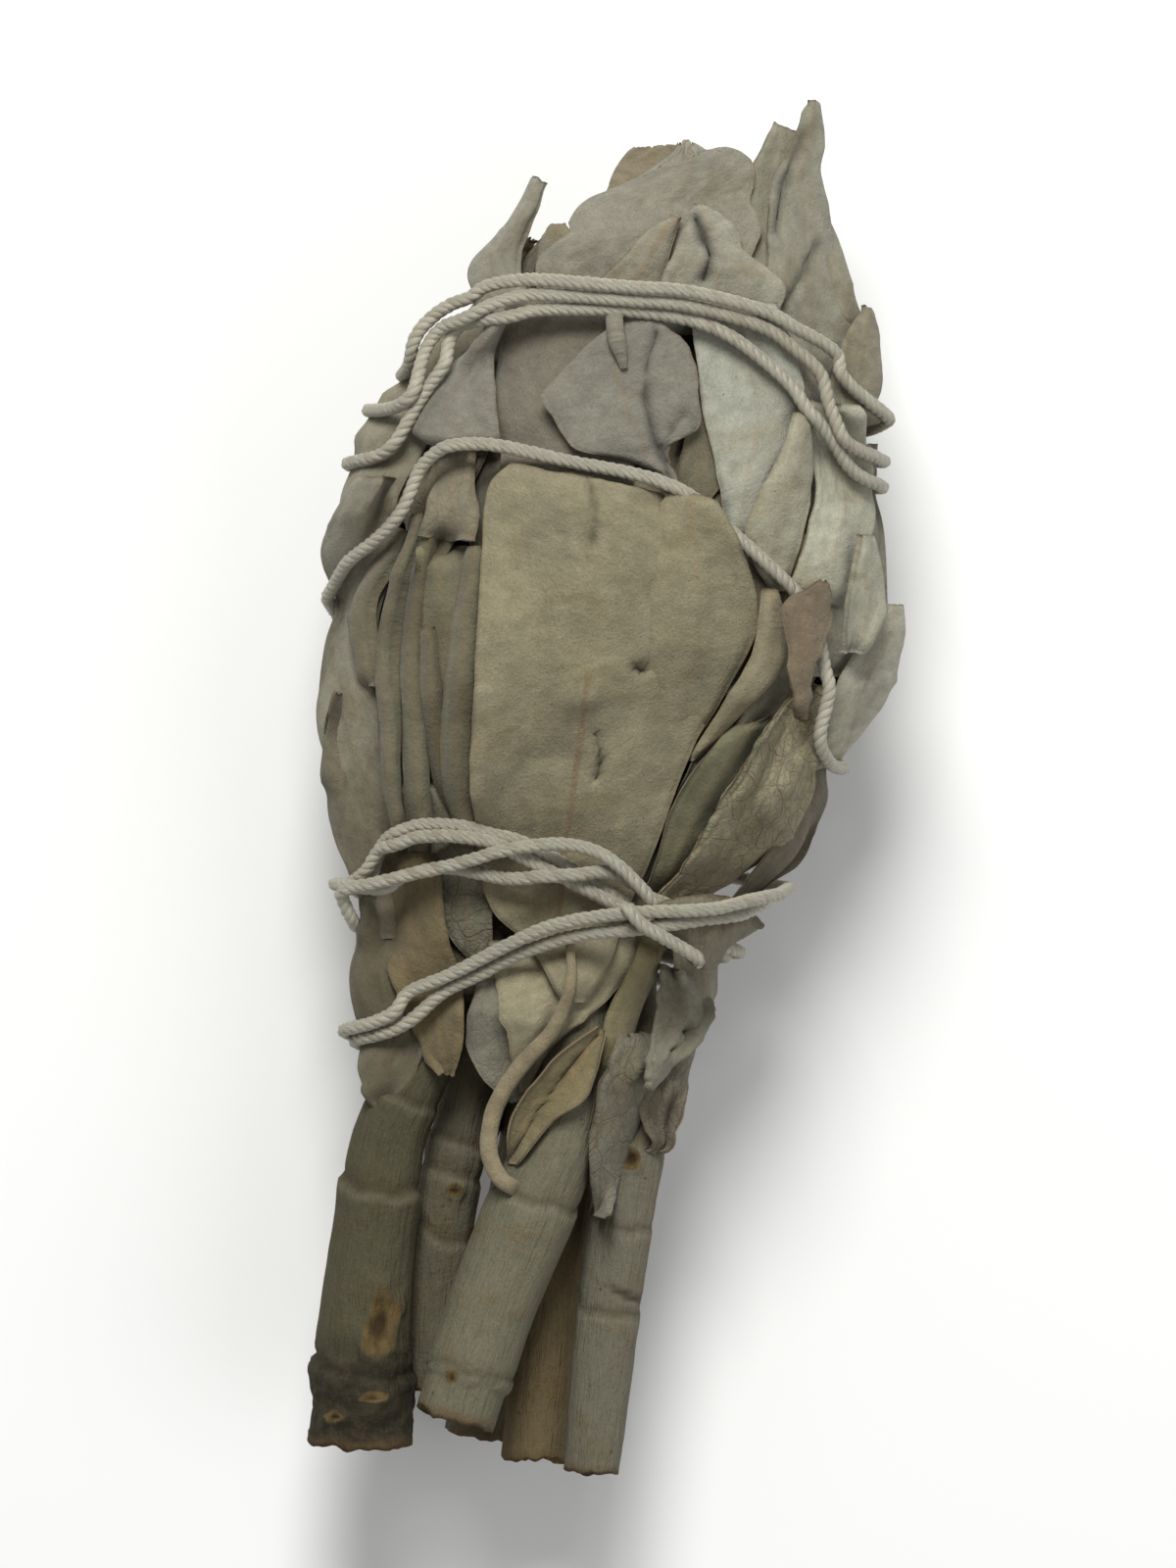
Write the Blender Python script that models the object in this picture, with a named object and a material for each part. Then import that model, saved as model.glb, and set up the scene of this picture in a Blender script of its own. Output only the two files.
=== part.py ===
"""A bunch of dried white sage: cut woody stems with their leaves folded over them, wound with one cotton string.

It lies on its back with the tips towards +Y, the cut stems towards -Y and the side that shows best upwards.
Every size is in millimetres until the meshes are made. A place on the bunch is (angle, y, lift): the angle is
round the bunch, 0 on top and 90 at its right side, y is along it, and lift is the height above its body.
Leaves are laid in order from the inside out, and each one is draped over what lies beneath it.
"""

import math
import random

import bpy
import numpy as np
from mathutils import Vector
from mathutils.bvhtree import BVHTree

MM = 0.001

# Driving sizes
LEAF_THICK = 0.7
GAP = 0.2
TWINE_RADIUS = 0.65
PETIOLE_RADIUS = 0.75
LEAN = math.radians(10)  # the bunch leans this far to the right in the view that the outlines are drawn in
LAYERS = 2.6  # how far the leaves that show stand off the body, on average
AXIS_HEIGHT = 16.6  # of the bunch's middle line over the surface, at y = 0
AXIS_RISE = 0.01  # per mm towards the tips

# The body inside the leaves: y, middle x, half width, height above the middle line and depth below it
BODY = (
    (-60, -1.4, 10.2, 8.0, 7.6),
    (-36, -1.4, 10.6, 8.0, 7.8),
    (-24, -2.2, 10.2, 8.2, 8.0),
    (-16, -2.4, 9.6, 6.6, 7.4),
    (-11, -2.3, 9.2, 5.0, 7.0),
    (-4, -2.6, 14.2, 7.2, 9.2),
    (2, -2.6, 16.0, 10.8, 14.0),
    (11, -2.3, 17.0, 12.8, 14.0),
    (16, -1.6, 17.2, 13.2, 13.0),
    (20, -1.6, 18.4, 13.0, 11.0),
    (26, -2.0, 17.4, 11.4, 9.6),
    (33, -1.2, 14.6, 8.4, 8.6),
    (38, -0.4, 12.8, 4.4, 7.8),
    (42, -0.4, 12.4, 3.2, 7.4),
    (48, -1.0, 12.6, 3.6, 6.6),
    (54, 1.6, 10.6, 4.2, 5.0),
    (60, 4.6, 8.2, 3.8, 3.6),
)
BODY_BLEND = 5.0  # length over which one station runs into the next
UNDERSIDE = 0.7  # below 1, the underside is flatter than round
LIES_ON = "leaf_back_7"
PRESSED = 0.2  # how far that leaf is pressed in
FILLED = 0.95  # what of its underside is nearer the surface than this lies on it
FLAT_DEPTH = 12.8  # the underside goes no deeper than this, so that the bunch has a flat to lie on
CORE_FROM, CORE_TO = -20.0, 45.0
CORE_RINGS, CORE_SIDES = 13, 20

# Meshing and draping
LEAF_CELL = 3.6
TWINE_STEP = 4.2
TWINE_SIDES = 6
PETIOLE_STEP = 2.5
PETIOLE_SIDES = 6
PETIOLE_JOINS = -20.5  # y where the petiole runs into the blade
PETIOLE_SUNK = 0.4
REACH = 16.0  # rays that look for what lies beneath start this far out
NO_SUPPORT = -4.0  # lift that a leaf may sink to where nothing is beneath it
TENSION = 24  # rounds of levelling: more of them bridge hollows more tightly
RAISE = 0.12
MOST_RAISES = 80


def blended(column):
    """One column of BODY as an evenly spaced, smoothed table."""
    ys = np.arange(-62, 62.01, 0.5)
    raw = np.interp(ys, [s[0] for s in BODY], [s[column] for s in BODY])
    count = int(BODY_BLEND / 0.5) | 1
    padded = np.pad(raw, count // 2, mode="edge")
    return ys, np.convolve(padded, np.ones(count) / count, mode="valid")


YS, MIDDLE = blended(1)
HALF_WIDTH = blended(2)[1]
HEIGHT = blended(3)[1]
DEPTH = blended(4)[1]


def on_body(angle, y, lift):
    """The point, or points, at this angle in radians, this y and this lift."""
    angle, y, lift = np.broadcast_arrays(*(np.asarray(a, float) for a in (angle, y, lift)))
    across, up = np.sin(angle), np.cos(angle)
    below = np.minimum(np.interp(y, YS, DEPTH) * np.abs(up) ** UNDERSIDE, FLAT_DEPTH)
    height = np.where(up > 0, np.interp(y, YS, HEIGHT) * up, -below)
    x = np.interp(y, YS, MIDDLE) + np.interp(y, YS, HALF_WIDTH) * across + lift * across
    z = AXIS_HEIGHT + AXIS_RISE * y + height + lift * up
    return np.stack([x, y, z], axis=-1)


def seen(x, y):
    """(angle, y) of the point of the bunch that shows x right and y up of the view's middle. A point past the
    bunch's outline is as far round its side as it is past the outline."""
    x, y = x * math.cos(LEAN) - y * math.sin(LEAN), x * math.sin(LEAN) + y * math.cos(LEAN)
    half = np.interp(y, YS, HALF_WIDTH) + LAYERS
    out = (x - np.interp(y, YS, MIDDLE)) / half
    past = max(abs(out) - 1, 0)
    return math.copysign(math.asin(min(abs(out), 1)) + past, out), y


# Stems, in the view: points (x, y) from the cut end up, radii there, and depth of the stem's middle line from
# the bunch's own at the cut end and at the top
STEMS = {
    "stem_back": ([(-8.8, -53.5), (-7, -42), (-5, -30), (-3.5, -20), (-3, -12)], [3.0, 2.9, 2.7, 2.3, 1.9], -9.2, -5.6),
    "stem_tan": ([(-4.4, -55.6), (-3, -42), (-1.2, -32), (0.4, -19)], [2.7, 2.6, 2.3, 1.8], -3.4, -4.6),
    "stem_mid_left": ([(-12.6, -50), (-12.0, -38), (-10.4, -28), (-7.6, -17)], [2.4, 2.4, 2.2, 1.8], -3.8, -2.6),
    "stem_left": (
        [(-18.6, -54), (-18.2, -44), (-17.2, -34.5), (-16.0, -28), (-12.8, -21), (-9.6, -14)],
        [3.9, 3.8, 3.4, 3.0, 2.5, 2.0],
        -0.4,
        0.6,
    ),
    "stem_right": (
        [(0.3, -56.3), (1.8, -42.5), (2.9, -35), (4.0, -29), (4.1, -22), (3.6, -13)],
        [2.25, 2.5, 2.6, 2.5, 2.0, 1.6],
        0.2,
        -1.0,
    ),
    "stem_front": (
        [(-10.8, -51.8), (-8, -43), (-4.4, -34), (-1.6, -27), (-0.8, -20), (-1.0, -11)],
        [3.8, 3.75, 3.75, 3.4, 2.7, 2.1],
        3.6,
        2.8,
    ),
}
STEM_SIDES = 10
STEM_STEP = 4.0
STEM_NODES = {  # y of each ring where leaves grew, and how far it stands out
    "stem_left": [(-33.5, 0.35), (-26, 0.2), (-49.5, 0.4)],
    "stem_front": [(-34.5, 0.3), (-49.5, 0.3)],
    "stem_mid_left": [(-29.5, 0.25), (-37.5, 0.25)],
    "stem_right": [(-36.5, 0.25), (-42.5, 0.25)],
}
HOLE_GAP = 0.35

# The leaves that show, from the inside out. left and right are the two edges in the view, base to tip.
# bow crowns a leaf, curl turns its left and right edges up, rise lifts its base and its tip off the bunch,
# and ripple waves its edges. Leaves marked inner are fused with the packed leaves in the middle.
LEAVES = {
    "top_right_back": dict(
        left=[(17.6, 37.6), (18.4, 43.2), (19, 45.8)], right=[(23.2, 36), (21.4, 41.2), (20, 46)], inner=True
    ),
    "top_small": dict(
        left=[(-4.8, 36.4), (-4.5, 41), (-4.3, 44), (-3.8, 45.6)],
        right=[(-2.2, 36.4), (-2.7, 41), (-2.7, 43.8), (-1.5, 45.6)],
        inner=True,
    ),
    "far_left_upper": dict(
        left=[(-19.8, 20.8), (-20.6, 24), (-20, 27.6), (-17, 31.6)],
        right=[(-16, 20.8), (-15.4, 24.8), (-15, 28), (-14.8, 31.6)],
        inner=True,
    ),
    "right_inner": dict(
        left=[(11.2, 3.2), (14, 8), (16.4, 12)], right=[(16, 2.4), (18.4, 7.2), (18.8, 12)], inner=True
    ),
    "left_low_inner": dict(
        left=[(-17.2, -8), (-16.4, -4), (-15.6, 0)], right=[(-12, -8), (-11.2, -4), (-12.4, 0)], inner=True
    ),
    "right_low_inner": dict(
        left=[(7.2, -19.2), (7.2, -16), (8, -11.8)], right=[(10.8, -18.4), (11.6, -15.6), (12.2, -11.8)], inner=True
    ),
    "leaf_top_back": dict(
        left=[(0, 38.5), (0.6, 45.6), (1.5, 48.7), (2, 50.4), (2.9, 51.3), (3.8, 51.9)],
        right=[(10.4, 38.5), (11, 45), (10.2, 49), (8.6, 51.4), (7.2, 52.1), (5.9, 51.8)],
        bow=0.5,
    ),
    "leaf_top_tall_back": dict(
        left=[(12, 37.6), (12.4, 43), (12.7, 47.3), (13.6, 51), (15.2, 54)],
        right=[(16, 37.6), (17, 44), (17.6, 48), (17.8, 51), (16.9, 53.3)],
        bow=0.7,
    ),
    "leaf_right_edge": dict(
        left=[(20, 8.8), (22.4, 16), (23.4, 22.4), (22.8, 27.6)],
        right=[(24.4, 8.8), (27, 15.2), (27, 21.6), (25.4, 27.6)],
        bow=0.5,
    ),
    "leaf_far_left": dict(
        left=[(-21.6, 3.2), (-24.6, 9.6), (-24, 16), (-21.4, 20.8)],
        right=[(-18.8, 3.2), (-19, 8.8), (-18.8, 14.4), (-18.2, 20.4)],
        bow=0.6,
    ),
    "leaf_far_left_low": dict(
        left=[(-19.8, -8.4), (-22, -4), (-22.8, 3.2), (-21.4, 8.8)],
        right=[(-17.2, -8.4), (-16.6, -4), (-17.2, 3.2), (-18.2, 8.8)],
        bow=0.5,
        curl=(0.6, 0),
    ),
    "leaf_right_crumpled": dict(
        left=[(12, -10.8), (14.8, -4.8), (15.4, 1)],
        right=[(16.6, -10.8), (19.4, -4.8), (20.4, 1.6)],
        bow=0.4,
        ripple=0.4,
    ),
    "leaf_left_sheath": dict(
        left=[(-19.4, -25.2), (-20, -20), (-20, -14.4), (-19.4, -9)],
        right=[(-13.4, -24.6), (-13.6, -19.2), (-14.4, -14.4), (-16.2, -9)],
        bow=0.3,
    ),
    "leaf_right_low_small": dict(
        left=[(4, -28.4), (4.4, -25.2), (5.4, -22.4)], right=[(7, -27.6), (8.4, -24), (9, -20.6)], ripple=0.3
    ),
    "leaf_top_tall": dict(
        left=[(14.2, 36), (14.4, 41), (14.6, 45.4), (14.8, 48.6), (16.4, 51.6), (17.3, 53.6), (17.6, 55.4)],
        right=[(22.8, 34.4), (21.7, 37.2), (20.4, 41.8), (19.9, 46.1), (19.1, 49.4), (19.3, 52.8), (19.1, 55.4)],
        bow=1.1,
    ),
    "leaf_top_broad": dict(
        left=[
            (-3.4, 36.6), (-4.3, 41.4), (-3.9, 42.9), (-1.7, 44.9), (-1.3, 46.3), (-0.3, 47.5), (1.3, 48.2),
            (3.9, 49.2), (6, 50.6), (7.3, 51.9),
        ],
        right=[
            (10.6, 36.6), (12.4, 41), (13.9, 45.2), (13, 47.6), (13.7, 49.8), (13.2, 51), (11.6, 51.8),
            (9.7, 51.5), (8.6, 52.1),
        ],
        bow=0.9,
        rise=(0, 0.8),
        ripple=0.3,
    ),
    "leaf_top_wedge": dict(
        left=[(-0.8, 37), (0.5, 40.7), (2.9, 42.8), (5, 45), (7, 46)],
        right=[(6.2, 37), (6.1, 40.6), (6.4, 42.1), (6.9, 44.2), (7.5, 46)],
        bow=0.6,
    ),
    "leaf_top_folded": dict(
        left=[(5.2, 36.8), (5.8, 40.6), (7.1, 43.4), (8.4, 46.4), (8.7, 47.1)],
        right=[(15.2, 36.4), (16.1, 40), (14.6, 41.8), (12.5, 43.4), (12.1, 44.9), (10.9, 46.1), (9.4, 47)],
        bow=1.1,
    ),
    "leaf_top_rolled": dict(
        left=[(-8.2, 36.4), (-9.5, 40.2), (-9.8, 42.2), (-7.3, 44.6), (-5.7, 46.8), (-4.4, 49.6)],
        right=[(-4.8, 36.4), (-5.6, 40.4), (-5.7, 42.4), (-5.3, 44.6), (-4.2, 46.9), (-3.5, 49)],
        bow=1.2,
    ),
    "leaf_top_side": dict(
        left=[(20.4, 29.6), (20.4, 34.4), (21.2, 36.8), (22.6, 38.8)],
        right=[(24.4, 28.6), (24.2, 33), (23.8, 36.6), (23.3, 38.9)],
        bow=0.7,
    ),
    "leaf_upper_mid": dict(
        left=[(-7, 21.6), (-7.5, 27.2), (-7.8, 32), (-7.5, 35), (-5.2, 37.4)],
        right=[(3.2, 21.6), (4, 27.2), (4.4, 32), (4, 36), (2.8, 38.6)],
        bow=0.6,
    ),
    "leaf_upper_right_wide": dict(
        left=[(12, 18.8), (10.8, 24), (9.8, 29.6), (9.6, 34.4), (9.2, 38)],
        right=[(13, 18.8), (14.8, 24.8), (17.8, 30), (17, 34.2), (14.6, 38)],
        bow=0.7,
    ),
    "leaf_upper_right_outer": dict(
        left=[(16.6, 15.2), (17.8, 20.4), (18.7, 25.6), (18.4, 31)],
        right=[(20.6, 14.6), (23.2, 20), (24, 24.6), (22.6, 30.6)],
        bow=0.8,
    ),
    "leaf_upper_right_slim": dict(
        left=[(15.2, 15.6), (13, 20.4), (15, 25.6), (17.3, 30)],
        right=[(16.5, 15.6), (17.4, 20.4), (18.6, 25.6), (18.9, 30)],
        bow=0.6,
    ),
    "leaf_right_light": dict(
        left=[(19, 0.8), (19.6, 6.4), (21.6, 10.8), (24.2, 14.6)],
        right=[(22.6, 2.4), (24.8, 7.6), (25.8, 11.6), (25.8, 14.6)],
        bow=0.7,
    ),
    "leaf_right_bean": dict(
        left=[(21, 10.6), (21.1, 14.4), (21.7, 17.6), (22.3, 20.2)],
        right=[(22.7, 10.6), (24.1, 14), (23.9, 17.2), (23.1, 20.2)],
        bow=1.1,
    ),
    "leaf_pleat_1": dict(
        left=[(-18.2, 7.6), (-19.4, 12), (-19.2, 16), (-17.6, 19.6), (-16.2, 21)],
        right=[(-17, 8), (-17.6, 12), (-17.4, 15.6), (-16, 18.4), (-14.9, 20.6)],
        bow=1.1,
    ),
    "leaf_pleat_2": dict(
        left=[(-16.6, -4.8), (-17, 3.2), (-17.4, 9.6), (-16.4, 16), (-15, 22)],
        right=[(-15.5, -4.8), (-15.3, 3.2), (-15.7, 9.6), (-14.8, 16), (-13.7, 22)],
        bow=1.2,
    ),
    "leaf_pleat_3": dict(
        left=[(-15.2, -6.4), (-15, 1.6), (-15.4, 9.6), (-14.5, 16.8), (-13.4, 23.2)],
        right=[(-13.6, -6.4), (-12.9, 1.6), (-13.4, 9.6), (-12.9, 16.8), (-12.1, 23.2)],
        bow=1.2,
    ),
    "leaf_left_vee": dict(
        left=[(-14.1, 19.2), (-13.8, 14.4), (-12.6, 9.6), (-11.8, 6.2)],
        right=[(-9.4, 19.2), (-9.7, 14.4), (-10.5, 9.6), (-11, 6.2)],
        bow=0.2,
    ),
    "leaf_pleat_4": dict(
        left=[(-9.8, -5.6), (-12, -1.6), (-13.4, 4.8), (-13.6, 12.8)],
        right=[(-8.6, -5.6), (-9.8, -1.6), (-11.6, 4.8), (-12.4, 12.8)],
        bow=1.2,
    ),
    "leaf_pleat_5": dict(
        left=[(-11, -6.4), (-11.8, 0.8), (-11.6, 8), (-10.8, 14.4), (-9.8, 19.2)],
        right=[(-9.2, -6.4), (-9.2, 0.8), (-9, 8), (-8.6, 14.4), (-8.3, 19.2)],
        bow=1.3,
    ),
    "leaf_left_crumple": dict(
        left=[(-14.1, 20.2), (-13.4, 23.2), (-12.4, 26.4), (-11.4, 27.8)],
        right=[(-9.2, 19.6), (-8.8, 22.4), (-9.4, 25.6), (-9.6, 27.8)],
        bow=0.8,
        ripple=0.5,
        rise=(0.6, 0),
    ),
    "leaf_left_flap": dict(
        left=[(-12.6, 27.4), (-15.2, 28.6), (-15.8, 30.4), (-13.6, 32.7), (-10, 35.7), (-8.4, 37.6)],
        right=[(-7.6, 27.4), (-7.5, 30), (-7.5, 32.3), (-7.9, 35), (-7.2, 37.8)],
        bow=1.2,
        rise=(0.7, 0),
    ),
    "leaf_mid_right_green": dict(
        left=[(5.1, -9), (6.1, -4), (8, 0.4), (11.6, 4.6)],
        right=[(7.2, -9), (9.6, -4), (12.4, 0.4), (15.6, 5.4)],
        bow=0.5,
    ),
    "leaf_mid_right_netted": dict(
        left=[(5.6, -10.6), (9, -4.6), (11.6, 0.2), (14.2, 4), (18.1, 8)],
        right=[(8.4, -10.6), (13.6, -7.4), (17.4, -3), (19.4, 1.6), (20.2, 7.8)],
        bow=0.8,
        curl=(0.5, 0),
    ),
    "leaf_mid_right_rolled": dict(
        left=[(8, 1.8), (10.8, 6.2), (13.2, 10.2), (14, 14), (14.6, 15.7)],
        right=[(9.8, 2.6), (13.2, 6.4), (16, 9.4), (16.6, 12.8), (15.8, 15.7)],
        bow=1.2,
    ),
    "leaf_left_netted": dict(
        left=[(-12.8, -4.8), (-12.6, -9.2), (-11, -12.8), (-9.2, -15)],
        right=[(-7.6, -4.8), (-7.8, -9.2), (-8, -12.8), (-8.2, -15)],
        bow=0.3,
    ),
    "leaf_low_gray": dict(
        left=[(-6.4, -26), (-8.8, -23.6), (-9.8, -20.8), (-9.4, -14.2)],
        right=[(-4.6, -25.2), (-3.8, -21.6), (-4.2, -18.4), (-5.4, -14.2)],
        bow=0.4,
    ),
    "leaf_front_under": dict(
        left=[(-4.4, -26.4), (-6, -22.4), (-7.2, -17.6), (-8.2, -12.8)],
        right=[(-2, -26.4), (0, -22.4), (3.2, -17.6), (4.4, -12)],
        bow=0.5,
    ),
    "leaf_olive_strip": dict(
        left=[(1, -23.6), (1.4, -19.2), (3.8, -14.4), (5.4, -11.4)],
        right=[(3.4, -23.6), (4.4, -19.2), (6.2, -14.8), (7.4, -12.4)],
        bow=0.5,
    ),
    "leaf_low_netted": dict(
        left=[(1.4, -22.6), (0.2, -27.2), (-0.2, -32), (1, -35.4)],
        right=[(5.6, -22.6), (4.6, -27.2), (2.6, -31.2), (2, -35.4)],
        bow=0.4,
        ripple=0.3,
    ),
    "leaf_right_holed": dict(
        left=[(5.4, -25), (5.1, -21.6), (6, -18.4), (7.6, -16.8)],
        right=[(6.8, -24.2), (8.6, -21.6), (10.6, -19.8), (10, -18)],
        bow=0.6,
    ),
    "leaf_tan_hanging": dict(
        left=[(-18, -5.6), (-17.6, -10.4), (-16.4, -16), (-14.6, -21), (-12.2, -23.7)],
        right=[(-12.8, -5.6), (-11.8, -10.4), (-10.8, -15.2), (-10.2, -20), (-10.9, -23.7)],
        bow=0.6,
    ),
    "leaf_front_broad": dict(
        left=[
            (-2.2, -17.6), (-4.4, -13.6), (-8, -10), (-9.4, -4.8), (-9.4, 3.2), (-9, 12), (-8.5, 19.2),
            (-8.1, 24), (-6.6, 26),
        ],
        right=[
            (0, -17.6), (2.6, -12.8), (4.6, -8), (6.4, -2.4), (8.8, 3.6), (11.6, 8), (13.6, 12),
            (13.4, 15.6), (11.6, 19.6), (7.2, 23.2),
        ],
        bow=0.9,
    ),
    "leaf_upper_torn": dict(
        left=[
            (1.2, 38.2), (-0.6, 35.6), (-3.9, 31.4), (-2.6, 29.2), (-1, 26.9), (3, 26), (6.2, 24.8), (7, 23.7),
        ],
        right=[(3.6, 38.4), (6.4, 37), (8.4, 35.2), (8.9, 32.3), (9.1, 29), (8.5, 27.2), (8, 25.2), (7.8, 23.8)],
        bow=0.7,
        curl=(0.8, 0.3),
    ),
    "leaf_small_olive": dict(
        left=[(-6.6, -30.8), (-6.2, -27.2), (-3.2, -22.8), (0.7, -19.7)],
        right=[(-5.8, -31), (-2.9, -27.4), (0, -25.2), (1.5, -20.2)],
        bow=-0.2,
        curl=(0.5, 0.5),
    ),
}

# Leaves of the side it lies on: angle and y of the base, angle and y of the tip, and width
BACK_LEAVES = {
    "leaf_back_1": (112, -14, 108, 30, 15),
    "leaf_back_2": (-116, -12, -108, 33, 15),
    "leaf_back_3": (140, -20, 134, 20, 15),
    "leaf_back_4": (-142, -17, -136, 26, 15),
    "leaf_back_5": (128, 12, 150, 50, 14),
    "leaf_back_6": (-128, 10, -140, 48, 14),
    "leaf_back_7": (184, -10, 176, 40, 21),
    "leaf_back_8": (-172, -30, 178, -2, 13),
}
INNER_SPREAD = 22  # leaves fused round the packed middle, by rule
INNER_SEED = 7

# One string, wound from the foot of the bunch to its top. Each pass crosses the side that shows from left to
# right, and then goes round the back through the three ys given, at 120, 180 and 240 degrees.
TWINE_PASSES = [
    (
        [(-19.4, -11.2), (-18.2, -6), (-14, -3.4), (-9.6, -3.8), (-4, -5.8), (1.6, -8.8), (5, -11.6), (10.4, -16.2)],
        (-14.8, -14.0, -13.0),
    ),
    (
        [(-19.2, -9.3), (-16.6, -6.6), (-12, -5.2), (-6.4, -5.6), (-2, -7.6), (2.4, -9.8), (7, -12.2), (12, -14.2)],
        (-12.9, -12.1, -11.2),
    ),
    (
        [(-19.6, -7.5), (-16, -8.4), (-12, -7), (-7, -7.4), (-1.6, -8), (3, -7.8), (8, -9.8), (13, -12.5)],
        (-11.1, -12.4, -14.6),
    ),
    (
        [(-19.2, -13), (-16.6, -9.6), (-11, -6.8), (-4.8, -5.2), (0.8, -5), (4.4, -8.2), (8.4, -11), (13.6, -10.8)],
        (-9.3, -14.6, -20.6),
    ),
    (
        [(-18.6, -21.2), (-14, -18.8), (-8, -15.2), (-3.2, -12.5), (1.6, -11.4), (6.4, -10.6), (11.2, -9.5), (15.2, -9.6)],
        (-7.5, -12.9, -18.9),
    ),
    (
        [(-18.6, -19.6), (-14, -17.2), (-8, -13.6), (-3.2, -10.9), (1.6, -9.8), (6.4, -9), (11.2, -7.9), (15, -8)],
        (-5.5, -4.4, 6.0),
    ),
    (
        [(-18.4, 20), (-14.4, 26), (-9.6, 27.6), (-2.4, 26.2), (7, 24), (12.6, 19.6), (17.8, 14.2), (19.6, 8), (19.4, 1.6)],
        (13.0, 21.5, 25.0),
    ),
    (
        [(-15.8, 30), (-12, 36), (-8, 38), (-3, 39), (3, 39), (8, 38.4), (14.4, 34.6), (19.2, 29.6), (22.2, 25)],
        (29.5, 31.0, 33.2),
    ),
    (
        [(-12, 37.2), (-9, 39.4), (-3, 40.4), (3.2, 39.9), (9, 39.8), (14.4, 38), (19.6, 33.4), (22.2, 27.6)],
        (32.2, 33.0, 35.0),
    ),
    (
        [(-11, 38.8), (-8, 41), (-3, 41.8), (3.2, 41.1), (10, 41), (16, 38.9), (20.6, 34.6), (22.0, 30)],
        (34.2, 34.6, 33.8),
    ),
]
BACK_ANGLES = (120, 180, 240)

# Leaves that lie over part of the string: how many passes are beneath each, and its outline as above
OVER_TWINE = {
    "leaf_right_ear": dict(
        passes=4,
        left=[(5.4, -10.8), (8, -9.6), (11.2, -8.6), (13.6, -9.2), (14.6, -10.8)],
        right=[(5.4, -12.4), (7.2, -14.8), (9.8, -15.4), (12.6, -13.6), (14.4, -11.8)],
        bow=0.8,
    ),
    "leaf_front_flap": dict(
        passes=7,
        left=[(5.8, 18.6), (6.1, 21.4), (7.2, 23.8)],
        right=[(13.4, 16.8), (13.2, 19.6), (12, 21.6)],
        bow=0.5,
    ),
    "leaf_dry_curl": dict(
        passes=7,
        left=[(19.7, 5.2), (18.7, 8.8), (17.3, 12), (17.8, 14.6), (20, 16.2)],
        right=[(20.8, 5.2), (20.6, 8.8), (21.7, 11.6), (21.8, 14), (21.2, 16.2)],
        bow=0.6,
        ripple=0.5,
    ),
}
PETIOLE = [(-5.2, -33.2), (-7.2, -32), (-8.1, -29.6), (-7.6, -26.4), (-5.6, -23.2), (-2.8, -20), (-1.3, -16), (-1.4, -12)]

COLOURS = {  # linear colour, roughness
    "sage_leaf": ((0.32, 0.30, 0.22, 1), 0.9),
    "sage_stem": ((0.24, 0.22, 0.16, 1), 0.85),
    "cotton_twine": ((0.62, 0.60, 0.51, 1), 0.8),
}


def spline(points, count):
    """count points on a smooth curve through the given ones, evenly spaced along it."""
    points = np.asarray(points, float)
    knots = np.concatenate([[0], np.cumsum(np.linalg.norm(np.diff(points, axis=0), axis=1))])
    ends = np.vstack([2 * points[0] - points[1], points, 2 * points[-1] - points[-2]])
    fine = []
    for i in range(len(points) - 1):
        p0, p1, p2, p3 = ends[i : i + 4]
        for t in np.linspace(0, 1, 12, endpoint=False):
            fine.append(
                0.5
                * (
                    2 * p1
                    + (p2 - p0) * t
                    + (2 * p0 - 5 * p1 + 4 * p2 - p3) * t**2
                    + (3 * p1 - p0 - 3 * p2 + p3) * t**3
                )
            )
    fine = np.array(fine + [points[-1]])
    along = np.concatenate([[0], np.cumsum(np.linalg.norm(np.diff(fine, axis=0), axis=1))])
    at = np.linspace(0, along[-1], count)
    return np.stack([np.interp(at, along, fine[:, k]) for k in range(points.shape[1])], axis=1), knots[-1]


def outward(verts, tris):
    """The triangles turned so that the solid's faces point out."""
    corners = verts[tris]
    volume = np.einsum("ij,ij->i", corners[:, 0], np.cross(corners[:, 1], corners[:, 2])).sum()
    return tris[:, ::-1] if volume < 0 else tris


class Pile:
    """Everything that has been laid so far."""

    def __init__(self):
        self.verts = np.zeros((0, 3))
        self.tris = np.zeros((0, 3), int)
        self.tree = None

    def add(self, verts, tris):
        self.tris = np.vstack([self.tris, tris + len(self.verts)])
        self.verts = np.vstack([self.verts, verts])
        self.tree = BVHTree.FromPolygons(self.verts.tolist(), self.tris.tolist())

    def top(self, angle, y):
        """Lift of the highest thing at each place."""
        starts = on_body(angle, y, REACH)
        down = starts - on_body(angle, y, REACH + 1)
        lifts = np.full(np.shape(angle), NO_SUPPORT)
        for at in np.ndindex(lifts.shape):
            hit = self.tree.ray_cast(Vector(starts[at]), Vector(down[at]), REACH - NO_SUPPORT)
            if hit[0] is not None:
                lifts[at] = REACH - hit[3]
        return lifts


def evened(points):
    """Each point of a grid as the mean of its neighbours along the grid's rows and columns."""
    grown = np.pad(points, ((1, 1), (1, 1), (0, 0)), mode="edge")
    if points.shape[1] > 1:
        return (grown[:-2, 1:-1] + grown[2:, 1:-1] + grown[1:-1, :-2] + grown[1:-1, 2:]) / 4
    return (grown[:-2, 1:-1] + grown[2:, 1:-1]) / 2


def draped(angle, y, needed):
    """Lifts of a taut sheet or string over the needed ones: it touches the high places and bridges the hollows."""
    base = on_body(angle, y, 0)
    out = on_body(angle, y, 1) - base
    lifts = needed.copy()
    for _ in range(TENSION):
        level = np.einsum("ijk,ijk->ij", evened(base + lifts[..., None] * out) - base, out)
        level[[0, -1]] = lifts[[0, -1]]
        lifts = np.maximum(needed, level)
    return lifts


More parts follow.
